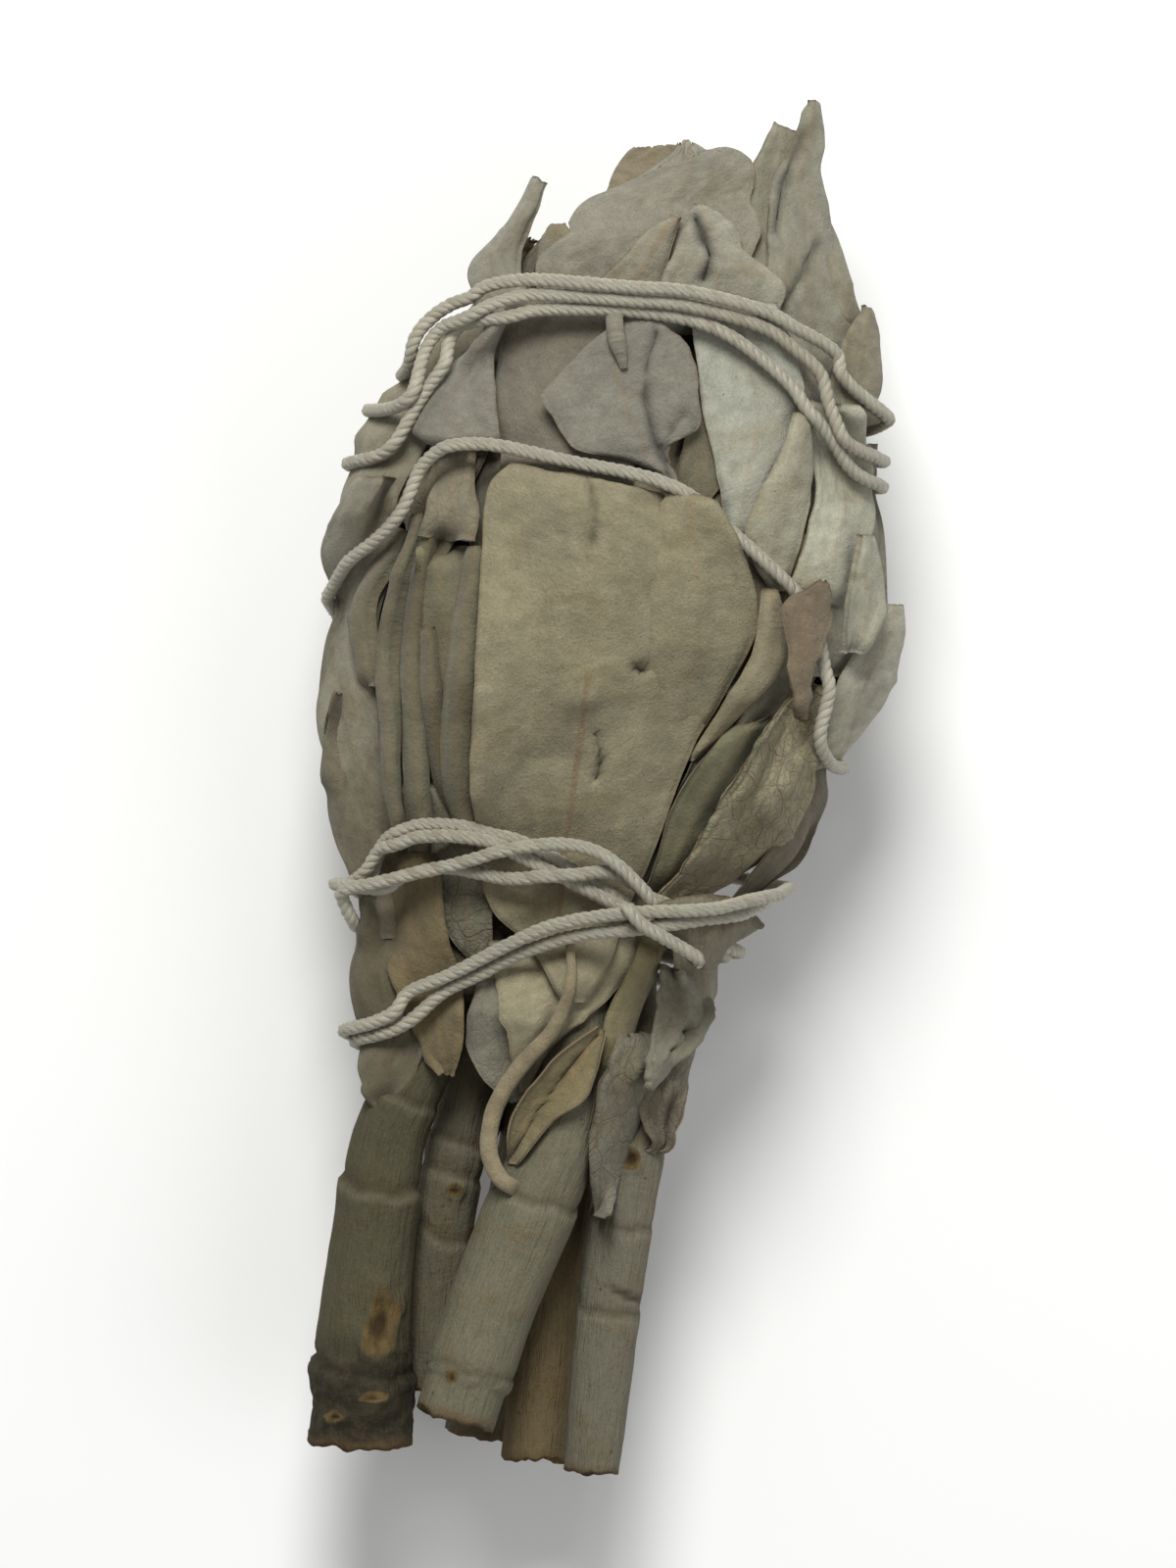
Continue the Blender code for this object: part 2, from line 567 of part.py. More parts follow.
def widest_near(needed):
    """Each place with the highest of its neighbours, because a flat facet runs between them."""
    grown = np.pad(needed, 1, mode="edge")
    rows, cols = needed.shape
    near = [grown[i : i + rows, j : j + cols] for i in range(3) for j in range(3)]
    return np.maximum(needed, 0.6 * np.max(near, axis=0) + 0.4 * needed)


def sheet(angle, y, low, high):
    """A closed blade between two lifts. Both faces are split alike."""
    rows, cols = angle.shape
    verts = np.vstack([on_body(angle, y, low).reshape(-1, 3), on_body(angle, y, high).reshape(-1, 3)])
    index = np.arange(rows * cols).reshape(rows, cols)
    a, b = index[:-1, :-1].ravel(), index[:-1, 1:].ravel()
    c, d = index[1:, 1:].ravel(), index[1:, :-1].ravel()
    under = np.vstack([np.stack([a, b, c], 1), np.stack([a, c, d], 1)])
    over = under[:, ::-1] + rows * cols
    rim = np.concatenate([index[0, :-1], index[:-1, -1], index[-1, :0:-1], index[:0:-1, 0]])
    after = np.roll(rim, -1)
    n = rows * cols
    side = np.vstack([np.stack([rim, rim + n, after], 1), np.stack([after, rim + n, after + n], 1)])
    tris = np.vstack([under, over, side])
    return verts, outward(verts, tris)


def tube(centres, radii, normals, sides):
    """A closed tube along the centres."""
    tangents = np.gradient(centres, axis=0)
    tangents /= np.linalg.norm(tangents, axis=1)[:, None]
    across = np.cross(tangents, normals)
    across /= np.linalg.norm(across, axis=1)[:, None]
    up = np.cross(across, tangents)
    turn = np.arange(sides) * 2 * math.pi / sides
    rings = centres[:, None] + np.asarray(radii)[:, None, None] * (
        np.cos(turn)[None, :, None] * up[:, None] + np.sin(turn)[None, :, None] * across[:, None]
    )
    count = len(centres)
    verts = np.vstack([rings.reshape(-1, 3), centres[:1], centres[-1:]])
    a = (np.arange(count - 1)[:, None] * sides + np.arange(sides)).ravel()
    b = (np.arange(count - 1)[:, None] * sides + (np.arange(sides) + 1) % sides).ravel()
    wall = np.vstack([np.stack([a, b, a + sides], 1), np.stack([b, b + sides, a + sides], 1)])
    ring = np.arange(sides)
    after = (ring + 1) % sides
    last = (count - 1) * sides
    foot = np.stack([after, ring, np.full(sides, count * sides)], 1)
    head = np.stack([last + ring, last + after, np.full(sides, count * sides + 1)], 1)
    tris = np.vstack([wall, foot, head])
    return verts, outward(verts, tris)


def blade_grid(left, right, cell):
    """Angles, ys, and the place across (-1 to 1) and along (0 to 1) of a leaf's grid. The edges are (angle, y)."""
    width_there = float(np.interp(left[len(left) // 2][1], YS, HALF_WIDTH))
    scale = np.array([width_there, 1.0])
    length = spline(np.array(left) * scale, 2)[1]
    wide = max(np.linalg.norm((np.array(a) - np.array(b)) * scale) for a, b in zip(left, right))
    rows = max(3, round(length / cell) + 1)
    cols = max(3, round(wide / cell) + 1)
    edge_l = spline(np.array(left) * scale, rows)[0] / scale
    edge_r = spline(np.array(right) * scale, rows)[0] / scale
    across = np.linspace(-1, 1, cols)
    share = (across + 1) / 2
    grid = edge_l[:, None] * (1 - share)[None, :, None] + edge_r[:, None] * share[None, :, None]
    u, v = np.meshgrid(across, np.linspace(0, 1, rows))
    return grid[..., 0], grid[..., 1], u, v


def form_of(u, v, bow=0.5, curl=(0, 0), rise=(0, 0), ripple=0.0, **_):
    """What a leaf's own shape adds to its lift."""
    crown = bow * (1 - u**2)
    edges = curl[0] * np.maximum(-u, 0) ** 3 + curl[1] * np.maximum(u, 0) ** 3
    ends = rise[0] * (1 - v) ** 3 + rise[1] * v**3
    waves = ripple * np.abs(u) ** 2 * (1 + np.sin(9 * v + 2 * u)) / 2
    return crown + edges + ends + waves


def near_mask(hits, shape):
    """Grid places that belong to the triangles that touch, with a fading ring round them."""
    mask = np.zeros(shape)
    mask.ravel()[hits % mask.size] = 1
    grown = np.pad(mask, 1, mode="edge")
    rows, cols = shape
    ring = np.max([grown[i : i + rows, j : j + cols] for i in range(3) for j in range(3)], axis=0)
    return np.maximum(mask, 0.5 * ring)


def cleared(pile, lifts, solid, gap):
    """The lifts, raised where the solid that they make, grown by the gap, meets the pile."""
    for _ in range(MOST_RAISES):
        verts, tris = solid(lifts, gap)
        pairs = BVHTree.FromPolygons(verts.tolist(), tris.tolist()).overlap(pile.tree)
        if not pairs:
            break
        hits = np.unique(tris[sorted({a for a, _ in pairs})])
        lifts = lifts + RAISE * near_mask(hits, lifts.shape)
    return lifts


def laid_leaf(pile, left, right, thick=LEAF_THICK, sink=None, gap=GAP, **form):
    """A leaf draped over the pile. With sink, it is sunk that deep instead, to fuse with what is beneath."""
    angle, y, u, v = blade_grid(left, right, LEAF_CELL)
    needed = widest_near(pile.top(angle, y)) + gap
    lifts = draped(angle, y, needed) + form_of(u, v, **form)
    if sink is not None:
        lifts = np.maximum(pile.top(angle, y), 0) - sink * (1 - v**3) + 0.2 * v
        return sheet(angle, y, lifts, lifts + thick)

    def solid(lifts, grown=0):
        return sheet(angle, y, lifts - grown, lifts + thick + grown)

    return solid(cleared(pile, lifts, solid, gap))


def seen_edges(leaf):
    return [seen(*p) for p in leaf["left"]], [seen(*p) for p in leaf["right"]]


def lance(base_angle, base_y, tip_angle, tip_y, width):
    """The two edges of a lance-shaped leaf between two places."""
    left, right = [], []
    base_angle, tip_angle = math.radians(base_angle), math.radians(tip_angle)
    turn = (tip_angle - base_angle + math.pi) % (2 * math.pi) - math.pi
    for share in np.linspace(0, 1, 7):
        angle = base_angle + turn * share
        y = base_y + (tip_y - base_y) * share
        half = width / 2 * (0.12 + 0.88 * math.sin(math.pi * share**0.85) ** 0.7)
        reach = half / (float(np.interp(y, YS, HALF_WIDTH)) + LAYERS)
        left.append((angle - reach, y))
        right.append((angle + reach, y))
    return left, right


def core_solid():
    """The packed middle as a closed body, ring by ring."""
    ys = np.linspace(CORE_FROM, CORE_TO, CORE_RINGS)
    turn = np.arange(CORE_SIDES) * 2 * math.pi / CORE_SIDES
    angle, y = np.meshgrid(turn, ys)
    rings = on_body(angle, y, 0).reshape(-1, 3)
    verts = np.vstack([rings, rings[:CORE_SIDES].mean(axis=0), rings[-CORE_SIDES:].mean(axis=0)])
    a = (np.arange(CORE_RINGS - 1)[:, None] * CORE_SIDES + np.arange(CORE_SIDES)).ravel()
    b = (np.arange(CORE_RINGS - 1)[:, None] * CORE_SIDES + (np.arange(CORE_SIDES) + 1) % CORE_SIDES).ravel()
    ring = np.arange(CORE_SIDES)
    after = (ring + 1) % CORE_SIDES
    last = (CORE_RINGS - 1) * CORE_SIDES
    tris = np.vstack(
        [
            np.stack([a, b, a + CORE_SIDES], 1),
            np.stack([b, b + CORE_SIDES, a + CORE_SIDES], 1),
            np.stack([after, ring, np.full(CORE_SIDES, len(verts) - 2)], 1),
            np.stack([last + ring, last + after, np.full(CORE_SIDES, len(verts) - 1)], 1),
        ]
    )
    return verts, outward(verts, tris)


def stem_solid(name, grow=0.0):
    points, radii, deep_foot, deep_top = STEMS[name]
    points = np.array(points, float)
    turned = np.stack(
        [
            points[:, 0] * math.cos(LEAN) - points[:, 1] * math.sin(LEAN),
            points[:, 0] * math.sin(LEAN) + points[:, 1] * math.cos(LEAN),
        ],
        axis=1,
    )
    length = spline(turned, 2)[1]
    line = spline(turned, max(4, round(length / STEM_STEP) + 1))[0]
    share = np.linspace(0, 1, len(line))
    radius = np.interp(share, np.linspace(0, 1, len(radii)), radii) + grow
    for view_y, stands in STEM_NODES.get(name, ()):
        along = (line[:, 1] - view_y) / 1.6
        radius = radius + stands * np.exp(-(along**2))
    deep = deep_foot + (deep_top - deep_foot) * share
    centres = np.stack([line[:, 0], line[:, 1], AXIS_HEIGHT + AXIS_RISE * line[:, 1] + deep], axis=1)
    if grow:
        centres[0] += (centres[0] - centres[1]) * 0.5
        centres[-1] += (centres[-1] - centres[-2]) / np.linalg.norm(centres[-1] - centres[-2]) * grow
    return tube(centres, radius, np.array([[0.0, 0.0, 1.0]]), STEM_SIDES)


def add_object(name, verts, tris, material):
    mesh = bpy.data.meshes.new(name)
    mesh.from_pydata((verts * MM).tolist(), [], tris.tolist())
    mesh.materials.append(material)
    obj = bpy.data.objects.new(name, mesh)
    bpy.context.scene.collection.objects.link(obj)
    return obj


def boolean(obj, others, operation):
    """One Boolean on a collection of the others, applied, with the others then removed."""
    group = bpy.data.collections.new("operands")
    bpy.context.scene.collection.children.link(group)
    for other in others:
        bpy.context.scene.collection.objects.unlink(other)
        group.objects.link(other)
    modifier = obj.modifiers.new("join", "BOOLEAN")
    modifier.operand_type = "COLLECTION"
    modifier.collection = group
    modifier.operation = operation
    modifier.solver = "MANIFOLD"
    graph = bpy.context.evaluated_depsgraph_get()
    joined = bpy.data.meshes.new_from_object(obj.evaluated_get(graph))
    obj.modifiers.clear()
    obj.data = joined
    for other in list(group.objects):
        bpy.data.objects.remove(other)
    bpy.data.collections.remove(group)


def mesh_of(obj):
    """Points in mm and triangles of an object's own mesh."""
    obj.data.calc_loop_triangles()
    verts = np.array([v.co for v in obj.data.vertices]) / MM
    return verts, np.array([t.vertices for t in obj.data.loop_triangles])


def keep_largest(obj):
    """Drops the loose scraps that a Boolean left."""
    verts, tris = mesh_of(obj)
    label = np.arange(len(verts))
    while True:
        low = label[tris].min(axis=1)
        new = label.copy()
        np.minimum.at(new, tris.ravel(), np.repeat(low, 3))
        if (new == label).all():
            break
        label = new
    names, counts = np.unique(label[tris[:, 0]], return_counts=True)
    kept = tris[label[tris[:, 0]] == names[counts.argmax()]]
    used, index = np.unique(kept, return_inverse=True)
    material = obj.data.materials[0]
    mesh = bpy.data.meshes.new(obj.name)
    mesh.from_pydata((verts[used] * MM).tolist(), [], index.reshape(-1, 3).tolist())
    mesh.materials.append(material)
    obj.data = mesh


def material(name):
    colour, roughness = COLOURS[name]
    made = bpy.data.materials.new(name)
    made.use_nodes = True
    shader = made.node_tree.nodes["Principled BSDF"]
    shader.inputs["Base Color"].default_value = colour
    shader.inputs["Roughness"].default_value = roughness
    shader.inputs["Metallic"].default_value = 0.0
    return made


def lay_stems(pile, look):
    for name in STEMS:
        verts, tris = stem_solid(name)
        pile.add(verts, tris)
        add_object(name, verts, tris, look)


def lay_inner_leaves(pile, look):
    """The packed leaves in the middle, with plain holes that the stems stand in."""
    core = add_object("inner_leaves", *core_solid(), look)
    rest = Pile()
    rest.add(*mesh_of(core))
    parts = []
    rng = random.Random(INNER_SEED)
    for i in range(INNER_SPREAD):
        angle = i * 360 / INNER_SPREAD * 5 + rng.uniform(-8, 8)
        y = rng.uniform(-16, 22)
        long = rng.uniform(22, 30)
        left, right = lance(angle, y, angle + rng.uniform(-14, 14), min(y + long, 50), rng.uniform(8, 12))
        parts.append(laid_leaf(rest, left, right, sink=0.45))
    for leaf in LEAVES.values():
        if leaf.get("inner"):
            parts.append(laid_leaf(rest, *seen_edges(leaf), sink=0.45))
    boolean(core, [add_object("inner", *part, look) for part in parts], "UNION")
    holes = [add_object("hole", *stem_solid(name, HOLE_GAP), look) for name in STEMS]
    boolean(core, holes, "DIFFERENCE")
    keep_largest(core)
    pile.add(*mesh_of(core))


def lay_leaf(pile, name, left, right, look, **form):
    verts, tris = laid_leaf(pile, left, right, **form)
    pile.add(verts, tris)
    return add_object(name, verts, tris, look)


def lay_traced(pile, leaves, look):
    for name, leaf in leaves.items():
        form = {k: v for k, v in leaf.items() if k not in ("left", "right", "passes")}
        blade = lay_leaf(pile, name, *seen_edges(leaf), look, **form)
        if name == "leaf_front_broad":
            add_petiole(pile, blade, look)


def path_of(places, step):
    """Evenly spaced angles and ys of a smooth path through places (angle, y)."""
    scale = np.array([20.0, 1.0])
    scaled = np.array(places, float) * scale
    length = np.linalg.norm(np.diff(spline(scaled, 400)[0], axis=0), axis=1).sum()
    line = spline(scaled, max(4, round(length / step) + 1))[0] / scale
    return line[:, :1], line[:, 1:]


def strand_needs(pile, angle, y, radius):
    """The least lift of a strand's middle line at each of its points."""
    run = np.gradient(np.hstack([angle * 20, y]), axis=0)
    run /= np.linalg.norm(run, axis=1)[:, None]
    needed = np.full(angle.shape, NO_SUPPORT)
    for offset in (-1, 0, 1):
        near_angle = angle - offset * radius * run[:, 1:] / 20
        needed = np.maximum(needed, pile.top(near_angle, y + offset * radius * run[:, :1]))
    return needed + GAP + radius


def strand_solid(angle, y, lifts, radius, sides):
    centres = on_body(angle, y, lifts)[:, 0]
    normals = on_body(angle, y, lifts + 1)[:, 0] - centres
    return tube(centres, np.broadcast_to(radius, len(centres)), normals, sides)


def cleared_strand(pile, angle, y, lifts, radius, sides, held=0):
    """The lifts, raised where the strand meets the pile. The first held points stay as they are."""
    for _ in range(MOST_RAISES):
        verts, tris = strand_solid(angle, y, lifts, radius + GAP * 0.8, sides)
        pairs = BVHTree.FromPolygons(verts.tolist(), tris.tolist()).overlap(pile.tree)
        hits = sorted({a for a, _ in pairs})
        rings = np.unique(np.minimum(tris[hits] // sides, len(lifts) - 1)) if hits else np.zeros(0, int)
        rings = rings[rings >= held]
        if not len(rings):
            break
        mask = np.zeros(len(lifts))
        mask[rings] = 1
        near = np.pad(mask, 1)
        mask = np.maximum(mask, 0.5 * np.maximum(near[:-2], near[2:]))
        mask[:held] = 0
        lifts = lifts + RAISE * mask[:, None]
    return lifts


class Twine:
    """The string, wound one turn after another along one path."""

    def __init__(self):
        places, self.ends = [], []
        for i, (points, back) in enumerate(TWINE_PASSES):
            around = [seen(*p) for p in points] + [(math.radians(a), y) for a, y in zip(BACK_ANGLES, back)]
            places += [(angle + 2 * math.pi * i, y) for angle, y in around]
            self.ends.append(places[-1][0])
        self.angle, self.y = path_of(places, TWINE_STEP)
        self.lifts = np.full(self.angle.shape, NO_SUPPORT)
        self.laid = 0

    def wind(self, pile, turn):
        """Lays one turn and a little of the next, which then starts from there."""
        count = len(self.angle)
        stop = count if turn + 1 == len(self.ends) else int(np.searchsorted(self.angle[:, 0], self.ends[turn]))
        low, high = max(self.laid - 2, 0), min(stop + 3, count)
        held = self.laid - low
        angle, y, lifts = self.angle[low:high], self.y[low:high], self.lifts[low:high].copy()
        needed = np.maximum(strand_needs(pile, angle, y, TWINE_RADIUS)[held:], lifts[held:])
        lifts[held:] = draped(angle[held:], y[held:], needed)
        lifts = cleared_strand(pile, angle, y, lifts, TWINE_RADIUS, TWINE_SIDES, held)
        self.lifts[low:high] = lifts
        bit = slice(max(self.laid - 3, 0), stop - 2)
        pile.add(*strand_solid(self.angle[bit], self.y[bit], self.lifts[bit], TWINE_RADIUS, TWINE_SIDES))
        self.laid = stop

    def solid(self):
        return strand_solid(self.angle, self.y, self.lifts, TWINE_RADIUS, TWINE_SIDES)


def add_petiole(pile, leaf, look):
    """The broad front leaf's petiole, run into the blade so that the two are one."""
    angle, y = path_of([seen(*p) for p in PETIOLE], PETIOLE_STEP)
    lifts = draped(angle, y, strand_needs(pile, angle, y, PETIOLE_RADIUS))
    lifts = cleared_strand(pile, angle, y, lifts, PETIOLE_RADIUS, PETIOLE_SIDES)
    inside = np.clip((y - PETIOLE_JOINS) / 2.5, 0, 1)
    lifts = lifts - inside * (GAP + PETIOLE_SUNK)
    radii = PETIOLE_RADIUS * (1 - 0.35 * inside[:, 0])
    solid = strand_solid(angle, y, lifts, radii, PETIOLE_SIDES)
    pile.add(*solid)
    boolean(leaf, [add_object("petiole", *solid, look)], "UNION")
    keep_largest(leaf)


def settle():
    """Puts the bunch over the origin and on the surface. The leaf that it lies on is pressed flat there."""
    meshes = {obj.name: obj.data for obj in bpy.data.objects}
    low = np.min([np.min([v.co for v in mesh.vertices], axis=0) for mesh in meshes.values()], axis=0)
    high = np.max([np.max([v.co for v in mesh.vertices], axis=0) for mesh in meshes.values()], axis=0)
    lowest = min(v.co.z for v in meshes[LIES_ON].vertices)
    shift = Vector((-(low[0] + high[0]) / 2, -(low[1] + high[1]) / 2, -lowest - PRESSED * MM))
    for mesh in meshes.values():
        for vertex in mesh.vertices:
            vertex.co += shift
            vertex.co.z = max(vertex.co.z, 0)
    blade = meshes[LIES_ON].vertices
    for under, over in zip(blade[: len(blade) // 2], blade[len(blade) // 2 :]):
        outer, inner = sorted((under, over), key=lambda v: v.co.z)
        inner.co.z = max(inner.co.z, outer.co.z + LEAF_THICK * MM * 0.95)
        if outer.co.z < FILLED * MM:
            outer.co.z = 0


def build():
    for obj in list(bpy.data.objects):
        bpy.data.objects.remove(obj)
    leaf_look, stem_look, twine_look = (material(name) for name in COLOURS)
    pile = Pile()
    lay_stems(pile, stem_look)
    lay_inner_leaves(pile, leaf_look)
    for name, (angle, y, tip_angle, tip_y, width) in BACK_LEAVES.items():
        left, right = lance(angle, y, tip_angle, tip_y, width)
        form = dict(bow=0, gap=GAP + PRESSED) if name == LIES_ON else dict(bow=0.3)
        lay_leaf(pile, name, left, right, leaf_look, **form)
    lay_traced(pile, {n: leaf for n, leaf in LEAVES.items() if not leaf.get("inner")}, leaf_look)
    twine = Twine()
    for turn in range(len(TWINE_PASSES)):
        lay_traced(pile, {n: leaf for n, leaf in OVER_TWINE.items() if leaf["passes"] == turn}, leaf_look)
        twine.wind(pile, turn)
    add_object("twine", *twine.solid(), twine_look)
    settle()


build()
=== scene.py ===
"""The bunch of dried white sage as it looks: every leaf laid over the ones beneath it, ridged stems and one
twisted cotton string. Sizes are in millimetres until the meshes are made. The stems' lines and most leaves'
outlines are those of the solids; the body, the string's passes and 17 leaves are traced closer than there.
"""

import math
import random

import bpy
import numpy as np
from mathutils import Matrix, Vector
from mathutils.bvhtree import BVHTree


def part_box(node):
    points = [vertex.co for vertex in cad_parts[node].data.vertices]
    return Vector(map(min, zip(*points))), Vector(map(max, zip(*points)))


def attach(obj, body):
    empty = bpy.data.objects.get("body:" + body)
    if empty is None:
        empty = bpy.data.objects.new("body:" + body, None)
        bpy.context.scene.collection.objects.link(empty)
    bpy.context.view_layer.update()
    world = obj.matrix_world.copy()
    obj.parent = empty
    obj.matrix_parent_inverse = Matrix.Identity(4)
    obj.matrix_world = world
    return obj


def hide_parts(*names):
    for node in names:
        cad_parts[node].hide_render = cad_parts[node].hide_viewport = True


MM = 0.001

# The view's lean and the bunch's middle line, as the solids have them
LEAN = math.radians(10)
LAYERS = 2.6  # how thick the leaves lie on the body where they are traced
AXIS_HEIGHT = 16.6
AXIS_RISE = 0.01
# The body inside the leaves, a little wider and fuller than the solids': y, middle x, half width, height above
# the middle line and depth below it
BODY = (
    (-60, -1.4, 10.2, 8.0, 7.6),
    (-36, -1.4, 10.6, 8.0, 7.8),
    (-24, -2.2, 11.4, 8.2, 8.0),
    (-16, -2.3, 12.4, 7.6, 7.6),
    (-11, -2.5, 12.2, 6.8, 7.0),
    (-4, -2.0, 16.6, 8.6, 9.4),
    (2, -2.5, 17.7, 11.2, 14.0),
    (8, -1.8, 18.9, 12.6, 14.0),
    (13, -1.1, 19.4, 12.9, 13.6),
    (16, -0.6, 19.4, 13.2, 13.0),
    (20, -1.0, 19.6, 13.4, 11.0),
    (26, -1.5, 18.8, 12.2, 9.6),
    (33, -0.8, 16.0, 10.0, 8.6),
    (38, -0.3, 14.9, 8.0, 7.8),
    (42, -0.4, 13.4, 7.6, 7.4),
    (48, -0.9, 11.4, 7.4, 6.6),
    (54, 2.2, 8.4, 6.0, 5.0),
    (60, 4.6, 6.6, 4.6, 3.6),
)
BODY_BLEND = 5.0  # mm of y that the rows are smoothed over
UNDERSIDE = 0.7  # below 1 makes the underside boxier
FLAT_DEPTH = 12.8  # where the underside is cut off flat
LOW_Y, HIGH_Y = -62, 62.01
ARC = 18.0  # mm round the bunch for each radian, when it is laid out flat

LEAF_THICK = 0.42
GAP = 0.1  # between leaves
CELL = 0.45  # of a leaf's grid
TWINE_RADIUS = 0.65
BITE = 0.25  # how far the string sinks into the leaves
PINCH = 0.9  # how deep the leaves are drawn in under the string
PINCH_WIDTH = 2.2
MAP_CELL = 0.4  # mm of y for each row of the height map
MAP_ROUND = 320  # its columns
BASE_LIFT = -2.4  # of the dark packed middle
EMPTY = -4.5  # the map's lift where nothing is laid
MOST_OFF = 4.0  # how far a leaf may bulge at the side of the bunch
BULGES_FROM = 0.82  # and from which share of the bunch's half width
EDGE_ROUNDS = 14  # of smoothing where leaves turn down at the side
STEM_STEP = 0.4
RAY_LIFT = 14.0  # where the rays that find the stems start
STEMS_BELOW = -8  # the y above which no stem shows
STEM_AROUND = 72  # points round a stem
SLIT_WIDTH = 0.32
SLIT_DEPTH = 0.4
TWINE_PITCH = 2.2  # mm of string for one turn of its strands
STRAND_STEP = 0.27
STRAND_SIDES = 8
STRAND_RADIUS = 0.385
STRAND_OFF = 0.2  # how far a strand's middle is from the string's
SIDE_ROUNDS = 80  # of smoothing where the string passes the two sides, which are seen edge on
PETIOLE_RADIUS = 0.72
PETIOLE_SIDES = 18
CORE_AROUND = 120
CORE_LOW, CORE_HIGH = -19, 43.01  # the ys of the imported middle
INNER_LEAVES = 54

KEY_POWER = 5.1
FILL_POWER = 0.9
WORLD_LIGHT = 0.34
LENS = 300.0
FRAME_TALL = 128.0  # mm of the bunch that the picture's height takes in
VIEW_HEIGHT = 18.0  # the height at which that holds
SENSOR = (27.0, 36.0)


def blended(column):
    """ys and the body's values there, from its rows."""
    ys = np.arange(LOW_Y, HIGH_Y, 0.5)
    raw = np.interp(ys, [s[0] for s in BODY], [s[column] for s in BODY])
    count = int(BODY_BLEND / 0.5) | 1
    padded = np.pad(raw, count // 2, mode="edge")
    return ys, np.convolve(padded, np.ones(count) / count, mode="valid")


YS, MIDDLE = blended(1)
HALF_WIDTH = blended(2)[1]
HEIGHT = blended(3)[1]
DEPTH = blended(4)[1]


def on_body(angle, y, lift):
    """The point, or points, at this angle in radians, this y and this lift."""
    angle, y, lift = np.broadcast_arrays(*(np.asarray(a, float) for a in (angle, y, lift)))
    across, up = np.sin(angle), np.cos(angle)
    below = np.minimum(np.interp(y, YS, DEPTH) * np.abs(up) ** UNDERSIDE, FLAT_DEPTH)
    height = np.where(up > 0, np.interp(y, YS, HEIGHT) * up, -below)
    x = np.interp(y, YS, MIDDLE) + np.interp(y, YS, HALF_WIDTH) * across + lift * across
    z = AXIS_HEIGHT + AXIS_RISE * y + height + lift * up
    return np.stack([x, y, z], axis=-1)


def turned(x, y):
    """A place in the view, as x and y along the bunch."""
    return x * math.cos(LEAN) - y * math.sin(LEAN), x * math.sin(LEAN) + y * math.cos(LEAN)


def seen(x, y):
    """(angle, y) of the point of the bunch that shows x right and y up of the view's middle."""
    x, y = turned(x, y)
    half = np.interp(y, YS, HALF_WIDTH) + LAYERS
    out = (x - np.interp(y, YS, MIDDLE)) / half
    past = max(abs(out) - 1, 0)
    return math.copysign(math.asin(min(abs(out), 1)) + past, out), y


# Stems, in the view: points (x, y) from the cut end up, radii there, and depth of the stem's middle line from
# the bunch's own at the cut end and at the top
STEMS = {
    "stem_back": (
        [(-8.8, -53.5), (-7, -42), (-5, -30), (-3.5, -20), (-3, -12)],
        [3.0, 2.9, 2.7, 2.3, 1.9],
        -9.2,
        -5.6,
    ),
    "stem_tan": ([(-4.4, -55.6), (-3, -42), (-1.2, -32), (0.4, -19)], [2.7, 2.6, 2.3, 1.8], -3.4, -4.6),
    "stem_mid_left": (
        [(-12.6, -50), (-12.0, -38), (-10.4, -28), (-7.6, -17)],
        [2.4, 2.4, 2.2, 1.8],
        -3.8,
        -2.6,
    ),
    "stem_left": (
        [(-18.6, -54), (-18.2, -44), (-17.2, -34.5), (-16.0, -28), (-12.8, -21), (-9.6, -14)],
        [3.9, 3.8, 3.4, 3.0, 2.5, 2.0],
        -0.4,
        0.6,
    ),
    "stem_right": (
        [(0.3, -56.3), (1.8, -42.5), (2.9, -35), (4.0, -29), (4.1, -22), (3.6, -13)],
        [2.25, 2.5, 2.6, 2.5, 2.0, 1.6],
        0.2,
        -1.0,
    ),
    "stem_front": (
        [(-10.8, -51.8), (-8, -43), (-4.4, -34), (-1.6, -27), (-0.8, -20), (-1.0, -11)],
        [3.8, 3.75, 3.75, 3.4, 2.7, 2.1],
        3.6,
        2.8,
    ),
}
STEM_NODES = {  # y of each ring where leaves grew, and how far it stands out
    "stem_left": [(-35.5, 0.32), (-27.5, 0.12), (-50.5, 0.35)],
    "stem_front": [(-34.4, 0.16), (-49.2, 0.12)],
    "stem_mid_left": [(-31, 0.2), (-34, 0.16), (-38.5, 0.18)],
    "stem_right": [(-35, 0.08), (-42.2, 0.1)],
}

